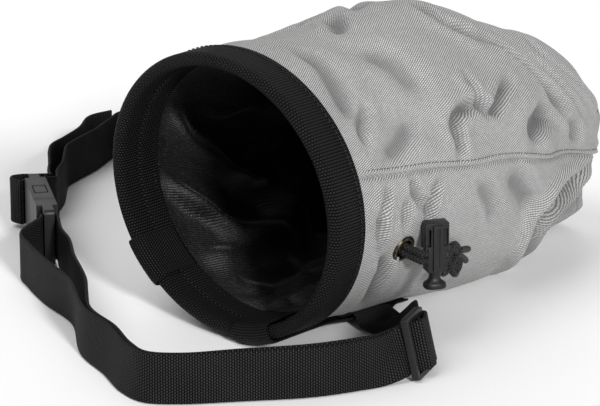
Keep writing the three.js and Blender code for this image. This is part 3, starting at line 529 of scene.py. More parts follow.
near_seam, far_seam, seam_stitch = 83, 277, -2.1
seam_steps = [-7, -5.5, -4.2, -3.3, -2.7, -2.35, seam_stitch, -1.85, -1.5, -1.0]
seam_steps += [-0.55, -0.2, 0, 0.15, 0.4, 0.8, 1.4, 2.2, 3.4, 5]
near_steps = near_seam + np.degrees(np.array(seam_steps) / cloth_radius)
far_steps = far_seam - np.degrees(np.array(seam_steps) / cloth_radius)
even = np.arange(0, 360, 1.55)
spare = (np.abs(even - near_steps[:, None]).min(0) > 0.8) & (np.abs(even - far_steps[:, None]).min(0) > 0.8)
base_angles = np.sort(np.concatenate([even[spare], near_steps, far_steps]))


def bag_grid(steps, cap_steps):
    """Rows from the mouth to the closed end: how far along, how much the row is drawn in, and how far pushed out."""
    last = section[-1, 0] * bag_length
    rows = [(x, 1.0, 0.0) for x in np.concatenate([[3.425, 12.0, 18.0], np.linspace(body_start, last, steps)])]
    for k in range(1, cap_steps + 1):
        turn = k / cap_steps * math.pi / 2
        rows.append((last, max(math.cos(turn), 1e-4), 0.1 * mouth_radius * math.sin(turn)))
    return np.array(rows)


shell_rows = bag_grid(132, 14)
row_x = np.repeat(shell_rows[:, :1], len(base_angles), axis=1)
off_near = seam_angle(row_x) - near_seam
angle_grid = (
    base_angles[None]
    + off_near * np.exp(-(((base_angles - near_seam) / 36) ** 2))
    - off_near * np.exp(-(((base_angles - far_seam) / 36) ** 2))
)
cloth = on_shell(row_x, angle_grid, shell_rows[:, 1:2], shell_rows[:, 2:3])
loose_cloth = ease(row_x, 17, 30) * (1 - 0.55 * ease(row_x, 0.93 * bag_length, bag_length)) * shell_rows[:, 1:2]
sink = pulled_in(row_x, angle_grid) * loose_cloth
wander = 0.32 * np.sin(row_x / 7.1 + np.radians(angle_grid) * 5) * np.sin(row_x / 17.3 - np.radians(angle_grid) * 9)
wander += 0.22 * np.sin(row_x / 4.3 - np.radians(angle_grid) * 13) * np.sin(row_x / 11.0 + np.radians(angle_grid) * 7)
sink += wander * loose_cloth
for seam in (seam_angle(row_x), 360 - seam_angle(row_x)):
    below = np.radians(angle_grid - seam) * cloth_radius * np.where(seam < 180, 1, -1)
    lap = 0.65 * (1 - ease(below, -0.1, 0.35)) * ease(below, -12, -2)
    roll = 0.45 * np.exp(-(((below + 1.0) / 0.75) ** 2))
    stitch_line = -0.4 * np.exp(-(((below + 2.25) / 0.4) ** 2))
    under_edge = -1.3 * np.exp(-(((below - 0.75) / 0.75) ** 2))
    sink -= (lap + roll + stitch_line + under_edge) * ease(row_x, 15, 22) * shell_rows[:, 1:2]
end_seam_along = 0.955 * bag_length
end_seam = np.exp(-((row_x - end_seam_along) ** 2)) * shell_rows[:, 1:2]
sink += 0.6 * end_seam * (shell_rows[:, 1:2] > 0.999)
cloth = cloth - normals(cloth) * sink[..., None]
cloth[..., 2] = np.maximum(cloth[..., 2], 0.05)

round_bag = np.concatenate([base_angles, base_angles[:1] + 360])
cap_run = np.clip(np.arange(len(shell_rows)) - (len(shell_rows) - 15), 0, 14) * cap_step
shell_run = np.cumsum(np.concatenate([[0], np.hypot(np.diff(shell_rows[:, 0]), 1e-3)])) + cap_run
shell_along = np.repeat(shell_run[:, None], len(round_bag), axis=1)
shell_across = np.repeat(np.radians(round_bag)[None] * shell_map_radius, len(shell_rows), axis=0)
shell_mesh = surface("body_shell_cloth", cloth, shell_along, shell_across)
# Painted shade: an attribute that darkens the twill's colour in the valleys of the creases and over the lobe under
# the big fold near the closed end, where shade falls.
painted_shade_under_fold = np.exp(-(((row_x - 0.82 * bag_length) / 34) ** 4) - (((angle_grid - 128) / 19) ** 4))
painted_fold_shade = (np.clip(sink / 3.4, 0, 1.1) + painted_shade_under_fold).astype(np.float32)
shell_mesh.attributes.new("Creased", "FLOAT", "POINT").data.foreach_set("value", painted_fold_shade.ravel())


def open_round(mesh, centre, radius):
    """Cuts a round hole through a cloth, where a fitting will cover its edge."""
    work = bmesh.new()
    work.from_mesh(mesh)
    bmesh.ops.remove_doubles(work, verts=work.verts, dist=2e-5)
    middle = Vector(centre) * 0.001
    cut = [f for f in work.faces if (f.calc_center_median() - middle).length < radius * 0.001]
    bmesh.ops.delete(work, geom=cut, context="FACES")
    work.to_mesh(mesh)
    work.free()


open_round(shell_mesh, eyelet_seat, 4.7)


def twill_finish(name, shade, warm):
    """Twill: fine slanting ribs, each made of short yarns, with a faint sheen and uneven dye, darkened with painted
    shade in its creases.
    """
    finish = Finish(name, Sheen_Weight=0.1, Sheen_Roughness=0.45, Specular_IOR_Level=0.25)
    along, across = finish.map_axes()
    rib_pitch, yarn_pitch = 0.00078, 0.00115
    slant = math.radians(58)
    slub = finish.map.noise(420, 3, 0.6)
    rib = (along * math.cos(slant) + across * math.sin(slant)) / rib_pitch + slub * 0.5
    yarn = (along * math.sin(slant) - across * math.cos(slant)) / yarn_pitch
    ribs = rib.math("SINE", rib * (2 * math.pi)) * 0.5 + 0.5
    step = rib.math("FLOOR", rib + 0.25) * 0.5
    yarns = yarn.math("SINE", (yarn + step) * (2 * math.pi)) * 0.5 + 0.5
    weave = (ribs**0.8) * (0.5 + yarns * 0.5)
    fuzz = finish.place.noise(5200, 2)
    cloud = finish.place.noise(26, 3)
    relief = weave + fuzz * 0.16 + slub * 0.1
    level = weave * 0.62 + slub * 0.2 + fuzz * 0.14 + cloud * 0.12
    # Painted shade: the colour is darkened by up to 85 % where the shell's attribute marks creases and the lobe under
    # the big fold.
    painted_fold_shade = finish.place.node("ShaderNodeAttribute", {"attribute_name": "Creased"}, {}, 2)
    level = level.clipped(0.26, 0.8) * (1 - painted_fold_shade.clipped(0.05, 1.1) * 0.85)
    tone = level.blend(grey(shade * 0.36, warm), grey(shade * 1.85, warm))
    return finish.feed(Base_Color=tone, Roughness=0.68 + slub * 0.2, Normal=relief.bump(0.55, 0.0003))


shell_twill = twill_finish("grey_twill", 0.315, 0.006)
shell = piece("body_shell_cloth", shell_mesh, shell_twill, "shell_twill", "body_shell")
wall = shell.modifiers.new("wall", "SOLIDIFY")
wall.thickness = 0.0009
wall.offset = -1


def stitch_nodes():
    """Geometry Nodes: thread stitches of one size, evenly spaced along a line of points."""
    tree = bpy.data.node_groups.new("stitches", "GeometryNodeTree")
    for name, kind in [
        ("Line", "NodeSocketGeometry"),
        ("Spacing", "NodeSocketFloat"),
        ("Stitch length", "NodeSocketFloat"),
        ("Thread thickness", "NodeSocketFloat"),
        ("Thread finish", "NodeSocketMaterial"),
    ]:
        tree.interface.new_socket(name, in_out="INPUT", socket_type=kind)
    tree.interface.new_socket("Stitches", in_out="OUTPUT", socket_type="NodeSocketGeometry")

    def add(kind, settings=None, **links):
        node = tree.nodes.new(kind)
        for name, value in (settings or {}).items():
            setattr(node, name, value)
        for name, value in links.items():
            socket = node.inputs[name.replace("_", " ")]
            if isinstance(value, bpy.types.NodeSocket):
                tree.links.new(value, socket)
            else:
                socket.default_value = value
        return node.outputs[0] if node.outputs else node

    given = tree.nodes.new("NodeGroupInput").outputs
    line = add("GeometryNodeMeshToCurve", Mesh=given["Line"])
    spaced = add("GeometryNodeResampleCurve", {"mode": "LENGTH"}, Curve=line, Length=given["Spacing"])
    thread = add("GeometryNodeMeshUVSphere", Segments=6, Rings=5, Radius=0.5)
    ahead = add("GeometryNodeInputTangent")
    turn = add("FunctionNodeAlignRotationToVector", {"axis": "Z"}, Vector=ahead)
    thick = given["Thread thickness"]
    size = add("ShaderNodeCombineXYZ", X=thick, Y=thick, Z=given["Stitch length"])
    placed = add("GeometryNodeInstanceOnPoints", Points=spaced, Instance=thread, Rotation=turn, Scale=size)
    real = add("GeometryNodeRealizeInstances", Geometry=placed)
    done = add("GeometryNodeSetMaterial", Geometry=real, Material=given["Thread finish"])
    tree.links.new(done, tree.nodes.new("NodeGroupOutput").inputs["Stitches"])
    return tree


stitches = stitch_nodes()


def stitched(name, lines, spacing, length, thread, finish, slot):
    """Stitches along lines of points, as one plain mesh."""
    corners, edges = [], []
    for line in lines:
        edges += [(len(corners) + k, len(corners) + k + 1) for k in range(len(line) - 1)]
        corners += (np.asarray(line) * 0.001).tolist()
    mesh = bpy.data.meshes.new(name)
    mesh.from_pydata(corners, edges, [])
    guide = bpy.data.objects.new(name, mesh)
    bpy.context.scene.collection.objects.link(guide)
    sewing = guide.modifiers.new("sewing", "NODES")
    sewing.node_group = stitches
    sizes = {
        "Spacing": spacing * 0.001,
        "Stitch length": length * 0.001,
        "Thread thickness": thread * 0.001,
        "Thread finish": finish,
    }
    for item in stitches.interface.items_tree:
        if item.in_out == "INPUT" and item.name in sizes:
            sewing[item.identifier] = sizes[item.name]
    evaluated = guide.evaluated_get(bpy.context.evaluated_depsgraph_get())
    done = bpy.data.meshes.new_from_object(evaluated)
    bpy.data.objects.remove(guide)
    done.name = name
    done.shade_smooth()
    return piece(name, done, finish, slot)


def thread_finish(name, dark, light):
    finish = Finish(name, Roughness=0.5, Specular_IOR_Level=0.25)
    twist = finish.place.noise(2400, 2)
    return finish.feed(Base_Color=twist.blend(grey(dark), grey(light)), Normal=twist.bump(0.4, 0.0001))


grey_thread = thread_finish("grey_thread", 0.05, 0.11)
seam_rows = (shell_rows[:, 0] > 19) & (shell_rows[:, 1] > 0.999)
sewn = []
for steps in (near_steps, far_steps):
    column = np.abs(base_angles - steps[seam_steps.index(seam_stitch)]).argmin()
    sewn.append(cloth[seam_rows, column] + normals(cloth)[seam_rows, column] * 0.08)
end_row = np.abs(shell_rows[:, 0] - end_seam_along).argmin()
sewn.append(cloth[end_row] + normals(cloth)[end_row] * 0.1)
for line in sewn:
    line[:, 2] = np.maximum(line[:, 2], 0.6)
stitched("shell_stitches", sewn, 2.3, 1.55, 0.42, grey_thread, "shell_twill")

# Lining. Black tricot-backed plush, cut a little smaller than the shell, sewn in under the rim binding and hanging
# free below it in soft diagonal folds. Its pile has a satin gleam where it is pulled tight.
lining_sags = np.array(
    [
        # at, angle, length, width, slant, depth
        [0.45, 200, 0.3, 0.22, 25, 0.1],
        [0.45, 240, 0.3, 0.2, 25, 0.12],
        [0.4, 150, 0.25, 0.2, 25, 0.09],
        [0.6, 100, 0.25, 0.3, 10, 0.09],
        [0.6, 300, 0.3, 0.3, 10, 0.1],
        [0.55, 10, 0.3, 0.3, 0, 0.12],
    ]
)
lining_folds = [
    (5.5, 9.0, [(0.09, 298), (0.13, 287), (0.162, 277), (0.245, 260), (0.306, 245), (0.34, 239)]),
    (5.0, 8.0, [(0.08, 268), (0.125, 255), (0.181, 242), (0.22, 232), (0.26, 226)]),
    (2.8, 6.0, [(0.06, 252), (0.1, 244), (0.106, 236), (0.1, 228)]),
    (5.0, 9.0, [(0.3, 249), (0.335, 241), (0.37, 234), (0.4, 227)]),
    (7.0, 6.0, [(0.1, 219), (0.17, 219), (0.25, 220), (0.33, 222), (0.4, 225)]),
    (6.5, 4.6, [(0.1, 206), (0.18, 204), (0.26, 206), (0.34, 209)]),
    (4.5, 4.6, [(0.13, 198), (0.17, 194), (0.22, 190), (0.3, 189)]),
    (4.5, 4.6, [(0.12, 184), (0.17, 181), (0.23, 176), (0.28, 171)]),
    (6.0, 5.0, [(0.4, 215), (0.46, 205), (0.55, 198), (0.62, 196)]),
    (6.0, 4.0, [(0.12, 160), (0.2, 155), (0.3, 156)]),
]
lining_rows = bag_grid(92, 10)
lining_angles = np.arange(0, 360, 1.8)
row_x = np.repeat(lining_rows[:, :1], len(lining_angles), axis=1)
angle_grid = np.repeat(lining_angles[None], len(lining_rows), axis=0)
cloth = on_shell(row_x, angle_grid, lining_rows[:, 1:2], lining_rows[:, 2:3])
hang = fold_depth(lining_sags, row_x, angle_grid) * ease(row_x, 24, 65) * (1 - ease(row_x, 151, 190))
traced = crease_depth(lining_folds, row_x, angle_grid, 220) * ease(row_x, 19, 34) * (1 - ease(row_x, 140, 175))
ripple = 0.5 * np.sin(row_x / 6.3 + np.radians(angle_grid) * 9) * np.sin(row_x / 13.0 - np.radians(angle_grid) * 6)
ripple = (ripple + 0.5) * ease(row_x, 30, 45) * lining_rows[:, 1:2]
depth = 1.5 + 0.35 + 0.35 * ease(row_x, 24, 36) + 3 * ease(row_x, 108, 173) + 1.15
with_shell = np.maximum(pulled_in(row_x, angle_grid), 0) * ease(row_x, 15, 28) * lining_rows[:, 1:2]
depth = depth + np.maximum(hang + traced + ripple, 0) + with_shell * 1.08
cloth = cloth - normals(cloth) * depth[..., None]
lowest = 1.9 + under_stack * ease(row_x, body_start, 45) * (1 - ease(row_x, 84, 116))
cloth[..., 2] = np.maximum(cloth[..., 2], lowest)
round_bag = np.append(lining_angles, 360)
cap_run = np.clip(np.arange(len(lining_rows)) - 95, 0, 10)[:, None] * cap_step
lining_along = np.repeat(lining_rows[:, :1] + cap_run, len(round_bag), axis=1)
lining_across = np.repeat(np.radians(round_bag)[None] * cloth_radius, len(lining_rows), axis=0)


def plush_finish(name):
    """Short black pile: it has glossier specks, painted lighter as painted highlights, lies in faint rows, and is
    uneven where it has been pressed.
    """
    finish = Finish(name, Sheen_Weight=0.16, Sheen_Roughness=0.3, Specular_IOR_Level=0.5)
    along, across = finish.map_axes()
    rows = along.math("SINE", (along * 0.35 + across) * (2 * math.pi / 0.0011)) * 0.5 + 0.5
    speck = finish.place.noise(1500, 2, 0.7)
    tuft = finish.place.noise(480, 3, 0.6)
    # Painted highlight: the specks are lighter in colour, as well as smoother in roughness.
    gloss_and_painted_glint = speck.clipped(0.55, 0.72)
    pressed = finish.place.noise(42, 3)
    level = gloss_and_painted_glint * 0.5 + rows * 0.14 + tuft * 0.3 + pressed * 0.25
    relief = speck * 0.6 + rows * 0.3 + tuft * 0.5
    tone = (level.clipped(0.28, 1.0) ** 1.6).blend((0.0006, 0.0005, 0.0005, 1), (0.085, 0.075, 0.079, 1))
    return finish.feed(Base_Color=tone, Roughness=0.52 - gloss_and_painted_glint * 0.2, Normal=relief.bump(0.8, 0.0005))


plush = plush_finish("black_plush")
lining = piece(
    "lining_cloth", surface("lining_cloth", cloth, lining_along, lining_across), plush, "lining_plush", "lining"
)
wall = lining.modifiers.new("wall", "SOLIDIFY")
wall.thickness = 0.0009
wall.offset = 1

# Rim binding. Coarse black webbing, folded over the edges of the shell and the lining and over the stiffener in
# the rim, and sewn through near both of its edges.
binding_outer, binding_inner, binding_thickness, rim_stack = 17.0, 21.0, 1.2, 6.15
lip_radius = rim_stack / 2
outer_stitch, inner_stitch, hem_edge = 14.6, 18.3, 10.6  # how far from the lip


def rim_point(x, radius, angle):
    z = ring_height + radius * np.cos(np.radians(angle))
    return np.stack([x - lean(x, z) - rest_along, -radius * mouth_oval * np.sin(np.radians(angle)), z], axis=-1)


def webbing_finish(name, rib, bead, dark, light, rise=0.0004):
    """Woven tape: ribs across its width, each a row of beads where the warp passes over, set off row by row."""
    finish = Finish(name, Specular_IOR_Level=0.1)
    along, across = finish.map_axes()
    row = along / rib
    number = row.math("FLOOR", row)
    odd = row.math("FLOORED_MODULO", number, 2.0) * 0.5
    crest = row.math("SINE", (row - number) * math.pi)
    bead_wave = row.math("ABSOLUTE", row.math("SINE", (across / bead + odd) * math.pi))
    woven = (crest**0.7) * (0.35 + bead_wave**0.8 * 0.65)
    thread = finish.place.noise(3200, 2)
    worn = finish.place.noise(60, 3)
    relief = woven + thread * 0.25
    level = woven * 0.8 + thread * 0.3 + worn * 0.2 - 0.2
    tone = (level.clipped(0.2, 0.95) ** 2.2).blend(grey(dark), grey(light))
    return finish.feed(Base_Color=tone, Roughness=0.5 + thread * 0.25, Normal=relief.bump(0.9, rise))


binding_webbing = webbing_finish("binding_webbing", 0.00125, 0.0013, 0.0003, 0.036, rise=0.0008)
fold = np.linspace(0, np.pi, 15)
legs_out = np.linspace(binding_outer - 0.5, lip_radius + 0.4, 14)
legs_in = np.linspace(lip_radius + 0.4, binding_inner - 0.5, 18)


def strip_side(inset):
    """One side of the folded strip, from its outer edge over the lip to its inner edge."""
    r = lip_radius - inset
    out = [(x, mouth_radius - inset) for x in legs_out]
    turn = [(lip_radius - r * math.sin(t), mouth_radius - lip_radius + r * math.cos(t)) for t in fold]
    inside = [(x, mouth_radius - rim_stack + inset) for x in legs_in]
    return out + turn + inside


half_thick = binding_thickness / 2
edge_out = [(binding_outer, mouth_radius - half_thick * k) for k in (1.45, 1.0, 0.55)]
edge_in = [(binding_inner, mouth_radius - rim_stack + half_thick * k) for k in (0.55, 1.0, 1.45)]
outside = strip_side(0.0)
profile = np.array([*outside, *edge_in, *strip_side(binding_thickness)[::-1], *edge_out])
around = np.linalg.norm(np.diff(np.vstack([profile, profile[:1]]), axis=0), axis=1)
profile_run = np.concatenate([[0], np.cumsum(around)])
rim_angles = np.arange(0, 360, 1.5)
face = np.arange(len(profile)) < len(outside)
inner_leg = profile[:, 1] < mouth_radius - lip_radius
grooves = [(inner_stitch, inner_leg), (hem_edge, 2.4 * inner_leg), (outer_stitch, ~inner_leg)]
groove = sum(np.exp(-(((profile[:, 0] - x) / 0.55) ** 2)) * leg for x, leg in grooves)
hem = ease(profile[:, 0], hem_edge, 12.0) * inner_leg * 0.6
rings = []
for angle in rim_angles:
    a = math.radians(angle)
    wave = 0.22 * math.sin(7 * a + 0.4) + 0.16 * math.sin(13 * a) + 0.1 * math.sin(29 * a + 1)
    inward = face * (0.3 * groove + 0.25 - hem + 0.12 * wave * (1 + inner_leg))
    edge_wave = (np.abs(profile[:, 0] - binding_inner) < 0.8) * (0.5 * wave)
    radius = profile[:, 1] - np.where(inner_leg, -inward, inward)
    rings.append(rim_point(profile[:, 0] + edge_wave, radius, angle))
rings = np.stack(rings)
around_rim = np.append(rim_angles, 360)
rim_along = np.repeat((np.radians(around_rim) * mouth_radius)[:, None], len(profile) + 1, axis=1)
rim_across = np.repeat(profile_run[None], len(around_rim), axis=0)
piece(
    "rim_binding_webbing",
    surface("rim_binding_webbing", rings, rim_along, rim_across, round_rows=True),
    binding_webbing,
    "webbing",
    "rim_binding",
)

black_thread = thread_finish("black_thread", 0.003, 0.03)
ring_angles = np.arange(0, 360.1, 1.5)
stitch_rings = [(outer_stitch, mouth_radius - 0.05), (inner_stitch, mouth_radius - rim_stack + 0.05)]
sewn = [rim_point(np.full(len(ring_angles), x), np.full(len(ring_angles), r), ring_angles) for x, r in stitch_rings]
stitched("binding_stitches", sewn, 2.6, 1.8, 0.5, black_thread, "webbing")

# Belt loops. Two short strips of the same webbing, folded over the rim at the back and sewn down, so that the belt
# can be threaded between them and the bag.
loop_width, loop_thickness, loop_inside, loop_length, loop_gap = 21.0, 1.2, 19.0, 82.0, 0.35
loop_webbing = webbing_finish("loop_webbing", 0.00115, 0.0013, 0.0003, 0.036, rise=0.0008)


def out_of_shell(x, angle, lift):
    x, angle = np.asarray(x, float), np.asarray(angle, float)
    across = on_shell(x, angle + 4) - on_shell(x, angle - 4)
    along = on_shell(x + 3, angle) - on_shell(x - 3, angle)
    out = np.cross(across, along)
    return on_shell(x, angle) + out / np.linalg.norm(out, axis=-1, keepdims=True) * np.asarray(lift)[..., None]


for name, middle in (("belt_loop_near", 166.0), ("belt_loop_far", 229.0)):
    half = math.degrees(loop_width / 2 / mouth_radius)
    spread = np.linspace(-1, 1, 15)
    spread = np.sign(spread) * (1 - (1 - np.abs(spread)) ** 1.5)
    round_edge = np.sqrt(np.maximum(1 - np.abs(spread) ** 10, 0.0))
    angles = middle + half * spread
    lifts = np.array([[18, 1.9], [28, 1.9], [45, 2.5], [69, 2.5], [75, 0.55], [82, 0.55]])
    rows = []
    for side in (0, 1):
        seat = 0.5 + (side - 0.5) * round_edge
        inside = mouth_radius - rim_stack - loop_gap - seat * loop_thickness
        lines = [rim_point(np.full(15, x), inside, angles) for x in np.arange(loop_inside, 3, -1.5)]
        for t in np.linspace(0, math.pi, 11):
            r = lip_radius + loop_gap + seat * loop_thickness
            lines.append(rim_point(lip_radius - r * math.sin(t), mouth_radius - lip_radius - r * math.cos(t), angles))
        for x in np.arange(5, 16, 2.0):
            lines.append(rim_point(np.full(15, x), mouth_radius + loop_gap + seat * loop_thickness, angles))
        for x in np.arange(18, loop_length + 0.1, 1.6):
            lift = np.interp(x, lifts[:, 0], lifts[:, 1])
            lines.append(out_of_shell(np.full(15, x), angles, lift + seat * loop_thickness))
        rows.append(np.array(lines))
    strip = np.concatenate([rows[1], rows[0][:, ::-1][:, 1:-1]], axis=1)
    strip[..., 2] = np.maximum(strip[..., 2], 0.05)
    run = np.concatenate([[0], np.cumsum(np.linalg.norm(np.diff(rows[1][:, 7], axis=0), axis=1))])
    wide = np.concatenate([spread, spread[::-1][1:-1], spread[:1]]) * loop_width / 2
    piece(
        name + "_webbing",
        surface(
            name + "_webbing",
            strip,
            np.repeat(run[:, None], len(wide), axis=1),
            np.repeat(wide[None], len(run), axis=0),
            capped=True,
        ),
        loop_webbing,
        "webbing",
        name,
    )

# Waist belt. One length of 20 mm polypropylene webbing. It is sewn to the slider's middle bar, runs to the buckle
# and back through the slider, goes under the bag through both loops, and folds back to the buckle on the far side.
belt_width, belt_thickness, strap_play, standing = 20.0, 1.4, 0.55, 0.4
layer_step = belt_thickness + 0.35
mouth_width = 2 * mouth_radius * mouth_oval
slider_length, slider_height, slider_thickness, slider_bar = 18.0, 25.0, 2.6, 2.4
buckle_width, buckle_thickness, buckle_bar, buckle_bar_depth = 24.4, 9.0, 3.0, 4.4
strap_slot, plug_base, plug_clearance, socket_length = 4.8, 9.0, 0.35, 30.0
slider_place = (0.095, -0.692, 22, 13)  # along and across the bag, heading, lean
buckle_place = (0.088, 0.96, 54.3, 0)
front_route = [
    # along, across, lean, between the layers, raise of the inner layer
    (0.045, -0.638, 6, 0.06, 0.0),
    (-0.006, -0.612, 2, 0.0, 0.04),
    (-0.088, -0.545, 0, 0.0, 0.05),
    (-0.189, -0.407, 0, 0.0, 0.03),
    (-0.2685, -0.2915, 0, 0.0, 0.0),
    (-0.307, -0.195, 2, 0.0, 0.0),
    (-0.296, -0.089, 6, 0.0, 0.0),
    (-0.254, 0.06, 8, 0.0, 0.0),
    (-0.216, 0.238, 4, 0.02, 0.0),
    (-0.119, 0.475, -4, 0.25, 0.0),
    (-0.074, 0.681, 0, 0.55, 0.0),
    (-0.033, 0.835, 0, 0.78, 0.0),
    (0.004, 0.94, 0, 0.75, 0.02),
]
return_route = [
    # along, across, lean, raise
    (0.176, -0.57, -4, 0.1),
    (0.205, -0.485, 22, 0.06),
    (0.245, -0.37, 52, 0.0),
    (0.263, -0.285, 86, 0.06),
]
far_route = [
    (0.3, 0.62, 70, 2.3),
    (0.34, 0.76, 48, 2.2),
    (0.4, 0.93, 20, 1.3),
    (0.49, 1.13, 4, 0.3),
    (0.6, 1.34, 0, 0.0),
    (0.7, 1.53, 0, 0.0),
    (0.735, 1.65, 0, 0.0),
]
back_route = [
    # the columns of the front route
    (0.7, 1.71, 0, 0.16, 0.0),
    (0.653, 1.68, 0, 0.42, 0.0),
    (0.574, 1.62, 0, 0.3, 0.0),
    (0.5, 1.58, 0, 0.24, 0.0),
    (0.455, 1.55, 0, 0.26, 0.0),
    (0.425, 1.505, 0, 0.26, 0.0),
    (0.37, 1.415, 0, 0.2, 0.0),
    (0.325, 1.36, 0, 0.1, 0.0),
    (0.288, 1.3, 0, 0.05, 0.05),
]
loose_turn = [(-0.12, 0.26), (0.0, 0.39), (0.13, 0.46), (0.27, 0.42), (0.33, 0.22), (0.3, -0.04), (0.27, -0.26)]


def route(rows, layer=None):
    """The middle of the strap and the direction of its width along a route, in its left layer, 0, or right, 1."""
    along, across, lean, *apart, lifted = np.array(rows).T
    shift = 0.0 if layer is None else layer * (layer_step + apart[0] * belt_width)
    lifted = lifted if layer is None else layer * lifted
    x, y = along * bag_length, across * mouth_width
    ahead_x, ahead_y = [np.append(c[1:], c[-1]) - np.append(c[0], c[:-1]) for c in (x, y)]
    right = np.stack([ahead_y, -ahead_x, 0 * x], axis=1)
    right /= np.linalg.norm(right, axis=1, keepdims=True)
    upright, tipped = np.cos(np.radians(lean)), np.sin(np.radians(lean))
    half = (belt_width * np.abs(upright) + belt_thickness * np.abs(tipped)) / 2
    middle = np.stack([x - rest_along, y, lifted * belt_width + half + standing], axis=1)
    width = np.stack([0 * x, 0 * x, upright], axis=1) + right * tipped[:, None]
    return np.hstack([middle + right * np.reshape(shift, (-1, 1)), width])


def in_fitting(place, thickness, height, points):
    """The same for points in the slider or the buckle, given as (ahead, left) of its first bar."""
    along, across, heading, lean = place
    turn, tip = math.radians(heading), math.radians(lean)
    forward, left = np.array([math.cos(turn), math.sin(turn), 0]), np.array([-math.sin(turn), math.cos(turn), 0])
    up = np.array([0, 0, 1.0])
    raised = up * math.cos(tip) + left * math.sin(tip)
    side = left * math.cos(tip) - up * math.sin(tip)
    start = [along * bag_length - rest_along, across * mouth_width, standing + thickness / 2 * math.sin(tip)]
    return np.array([[*(start + a * forward + b * side + height / 2 * raised), *raised] for a, b in points])


def round_bar(start, angles):
    """Points round one of the buckle's bars, which are flat on two sides."""
    round_buckle = buckle_bar / 2 + strap_play + belt_thickness / 2
    over_buckle = buckle_bar_depth / 2 + strap_play + belt_thickness / 2
    c, s = np.cos(np.radians(angles)), np.sin(np.radians(angles))
    ahead = start + round_buckle * np.sign(c) * np.abs(c) ** 0.7
    return list(zip(ahead, over_buckle * np.sign(s) * np.abs(s) ** 0.7))


pitch = (slider_length - slider_bar) / 2
over_slider = slider_thickness / 2 + strap_play + belt_thickness / 2
round_slider = slider_bar / 2 + strap_play + belt_thickness / 2
over_sewn = over_slider + layer_step
sewn_end = [
    (pitch - 0.8, -over_slider),
    (pitch + 0.6, -over_slider),
    (pitch + 0.8 * round_slider, -0.6 * over_slider),
    (pitch + round_slider, 0),
    (pitch + 0.8 * round_slider, 0.6 * over_slider),
    (pitch + 0.6, over_slider),
    (pitch - 2.4, over_slider + 0.7),
    (0, over_sewn),
]
through_slider = [
    (-0.4, over_slider),
    (1.3, over_slider),
    (3, 1.3),
    (3.9, -0.4),
    (4.7, -2.3),
    (6, -0.93 * over_sewn),
    (pitch, -over_sewn),
    (pitch + 3, -over_sewn),
    (2 * pitch - 1.6, -over_slider - 0.3),
    (2 * pitch + 0.5, -over_slider),
    (2 * pitch + 0.97 * round_slider, -1.6),
    (2 * pitch + round_slider + 0.4, 1),
    (2 * pitch + round_slider + 1.6, 4),
]
belt_along = 57.0
under_angles = np.array([155, 161, 168, 176, 184, 193, 202, 211, 220, 229, 238, 243], float)
under_lift = np.full(len(under_angles), strap_play + belt_thickness / 2)
ahead, rear = [
    out_of_shell(np.full(len(under_angles), belt_along + shift), under_angles, under_lift)
    for shift in (-belt_width / 2, belt_width / 2)
]
under_bag = np.hstack([(ahead + rear) / 2, (rear - ahead) / np.linalg.norm(rear - ahead, axis=1, keepdims=True)])
far_bar = buckle_bar / 2 + strap_slot + plug_base + plug_clearance + socket_length + strap_slot + buckle_bar / 2
slider_box, buckle_box = (slider_thickness, slider_height), (buckle_thickness, buckle_width)
turned_back = [(far_bar + ahead_share * belt_width, left * belt_width) for ahead_share, left in loose_turn]
belt_stations = np.vstack(
    [
        in_fitting(slider_place, *slider_box, sewn_end),
        route(front_route, 1),
        in_fitting(buckle_place, *buckle_box, round_bar(0, [-100, -50, 0, 50, 100])),
        route(front_route, 0)[::-1],
        in_fitting(slider_place, *slider_box, through_slider),
        route(return_route),
        under_bag,
        route(far_route),
        route(back_route, 0),
        in_fitting(buckle_place, *buckle_box, round_bar(far_bar, [-80, -130, -180, -230, -270])),
        in_fitting(buckle_place, *buckle_box, turned_back),
        route(back_route, 1)[::-1],
    ]
)
belt_webbing = webbing_finish("belt_webbing", 0.001, 0.0012, 0.0008, 0.055, rise=0.0005)
stations, belt_run = through(belt_stations, 0.85)
middle, width = stations[:, :3], stations[:, 3:]
forward = np.gradient(middle, axis=0)
forward /= np.linalg.norm(forward, axis=1, keepdims=True)
width = width - forward * (width * forward).sum(1, keepdims=True)
width /= np.linalg.norm(width, axis=1, keepdims=True)
normal = np.cross(forward, width)
half_wide, half_thick = belt_width / 2, belt_thickness / 2
flat = np.linspace(-1, 1, 11) * (half_wide - 0.7)
upper = [(x, half_thick * (1 - 0.1 * (abs(x) < 8.6))) for x in flat]
edge_shape = [(0.2, 0.75), (0, 0.3), (0, -0.3), (0.2, -0.75)]
edge = [(half_wide - less, share * half_thick) for less, share in edge_shape]
lower = [(x, -h) for x, h in upper[::-1]]
ring = np.array([*upper, *edge, *lower, *[(-x, -h) for x, h in edge]])
strip = middle[:, None] + ring[:, 0][None, :, None] * width[:, None] + ring[:, 1][None, :, None] * normal[:, None]
strip[..., 2] = np.maximum(strip[..., 2], 0.25)
around_strip = np.append(ring[:, 0], ring[0, 0])
piece(
    "waist_belt_webbing",
    surface(
        "waist_belt_webbing",
        strip,
        np.repeat(belt_run[:, None], len(around_strip), axis=1),
        np.repeat(around_strip[None], len(belt_run), axis=0),
        capped=True,
    ),
    belt_webbing,
    "webbing",
    "waist_belt",
)

# Slider and buckle. A tri-glide slider and a side-release buckle, both injection moulded in black acetal: rounded
# edges, a fine satin skin, and paler scuffs.


def moulded_finish(name, dark, light, rough):
    """Black acetal: satin, with faint flow marks and fine scratches."""
    finish = Finish(name, Specular_IOR_Level=0.3)
    grain = finish.place.noise(1700, 3)
    flow = finish.place.noise(90, 2)
    scratch = finish.place.noise(430, 4, 0.7).clipped(0.62, 0.74)
    tone = (flow * 0.5 + grain * 0.3 + scratch * 0.5).blend(grey(dark), grey(light))
    relief = grain + scratch * 0.4
    gloss = rough + grain * 0.16 + scratch * 0.12
    return finish.feed(Base_Color=tone, Roughness=gloss, Normal=relief.bump(0.25, 0.00008))


black_plastic = moulded_finish("black_plastic", 0.004, 0.018, 0.34)


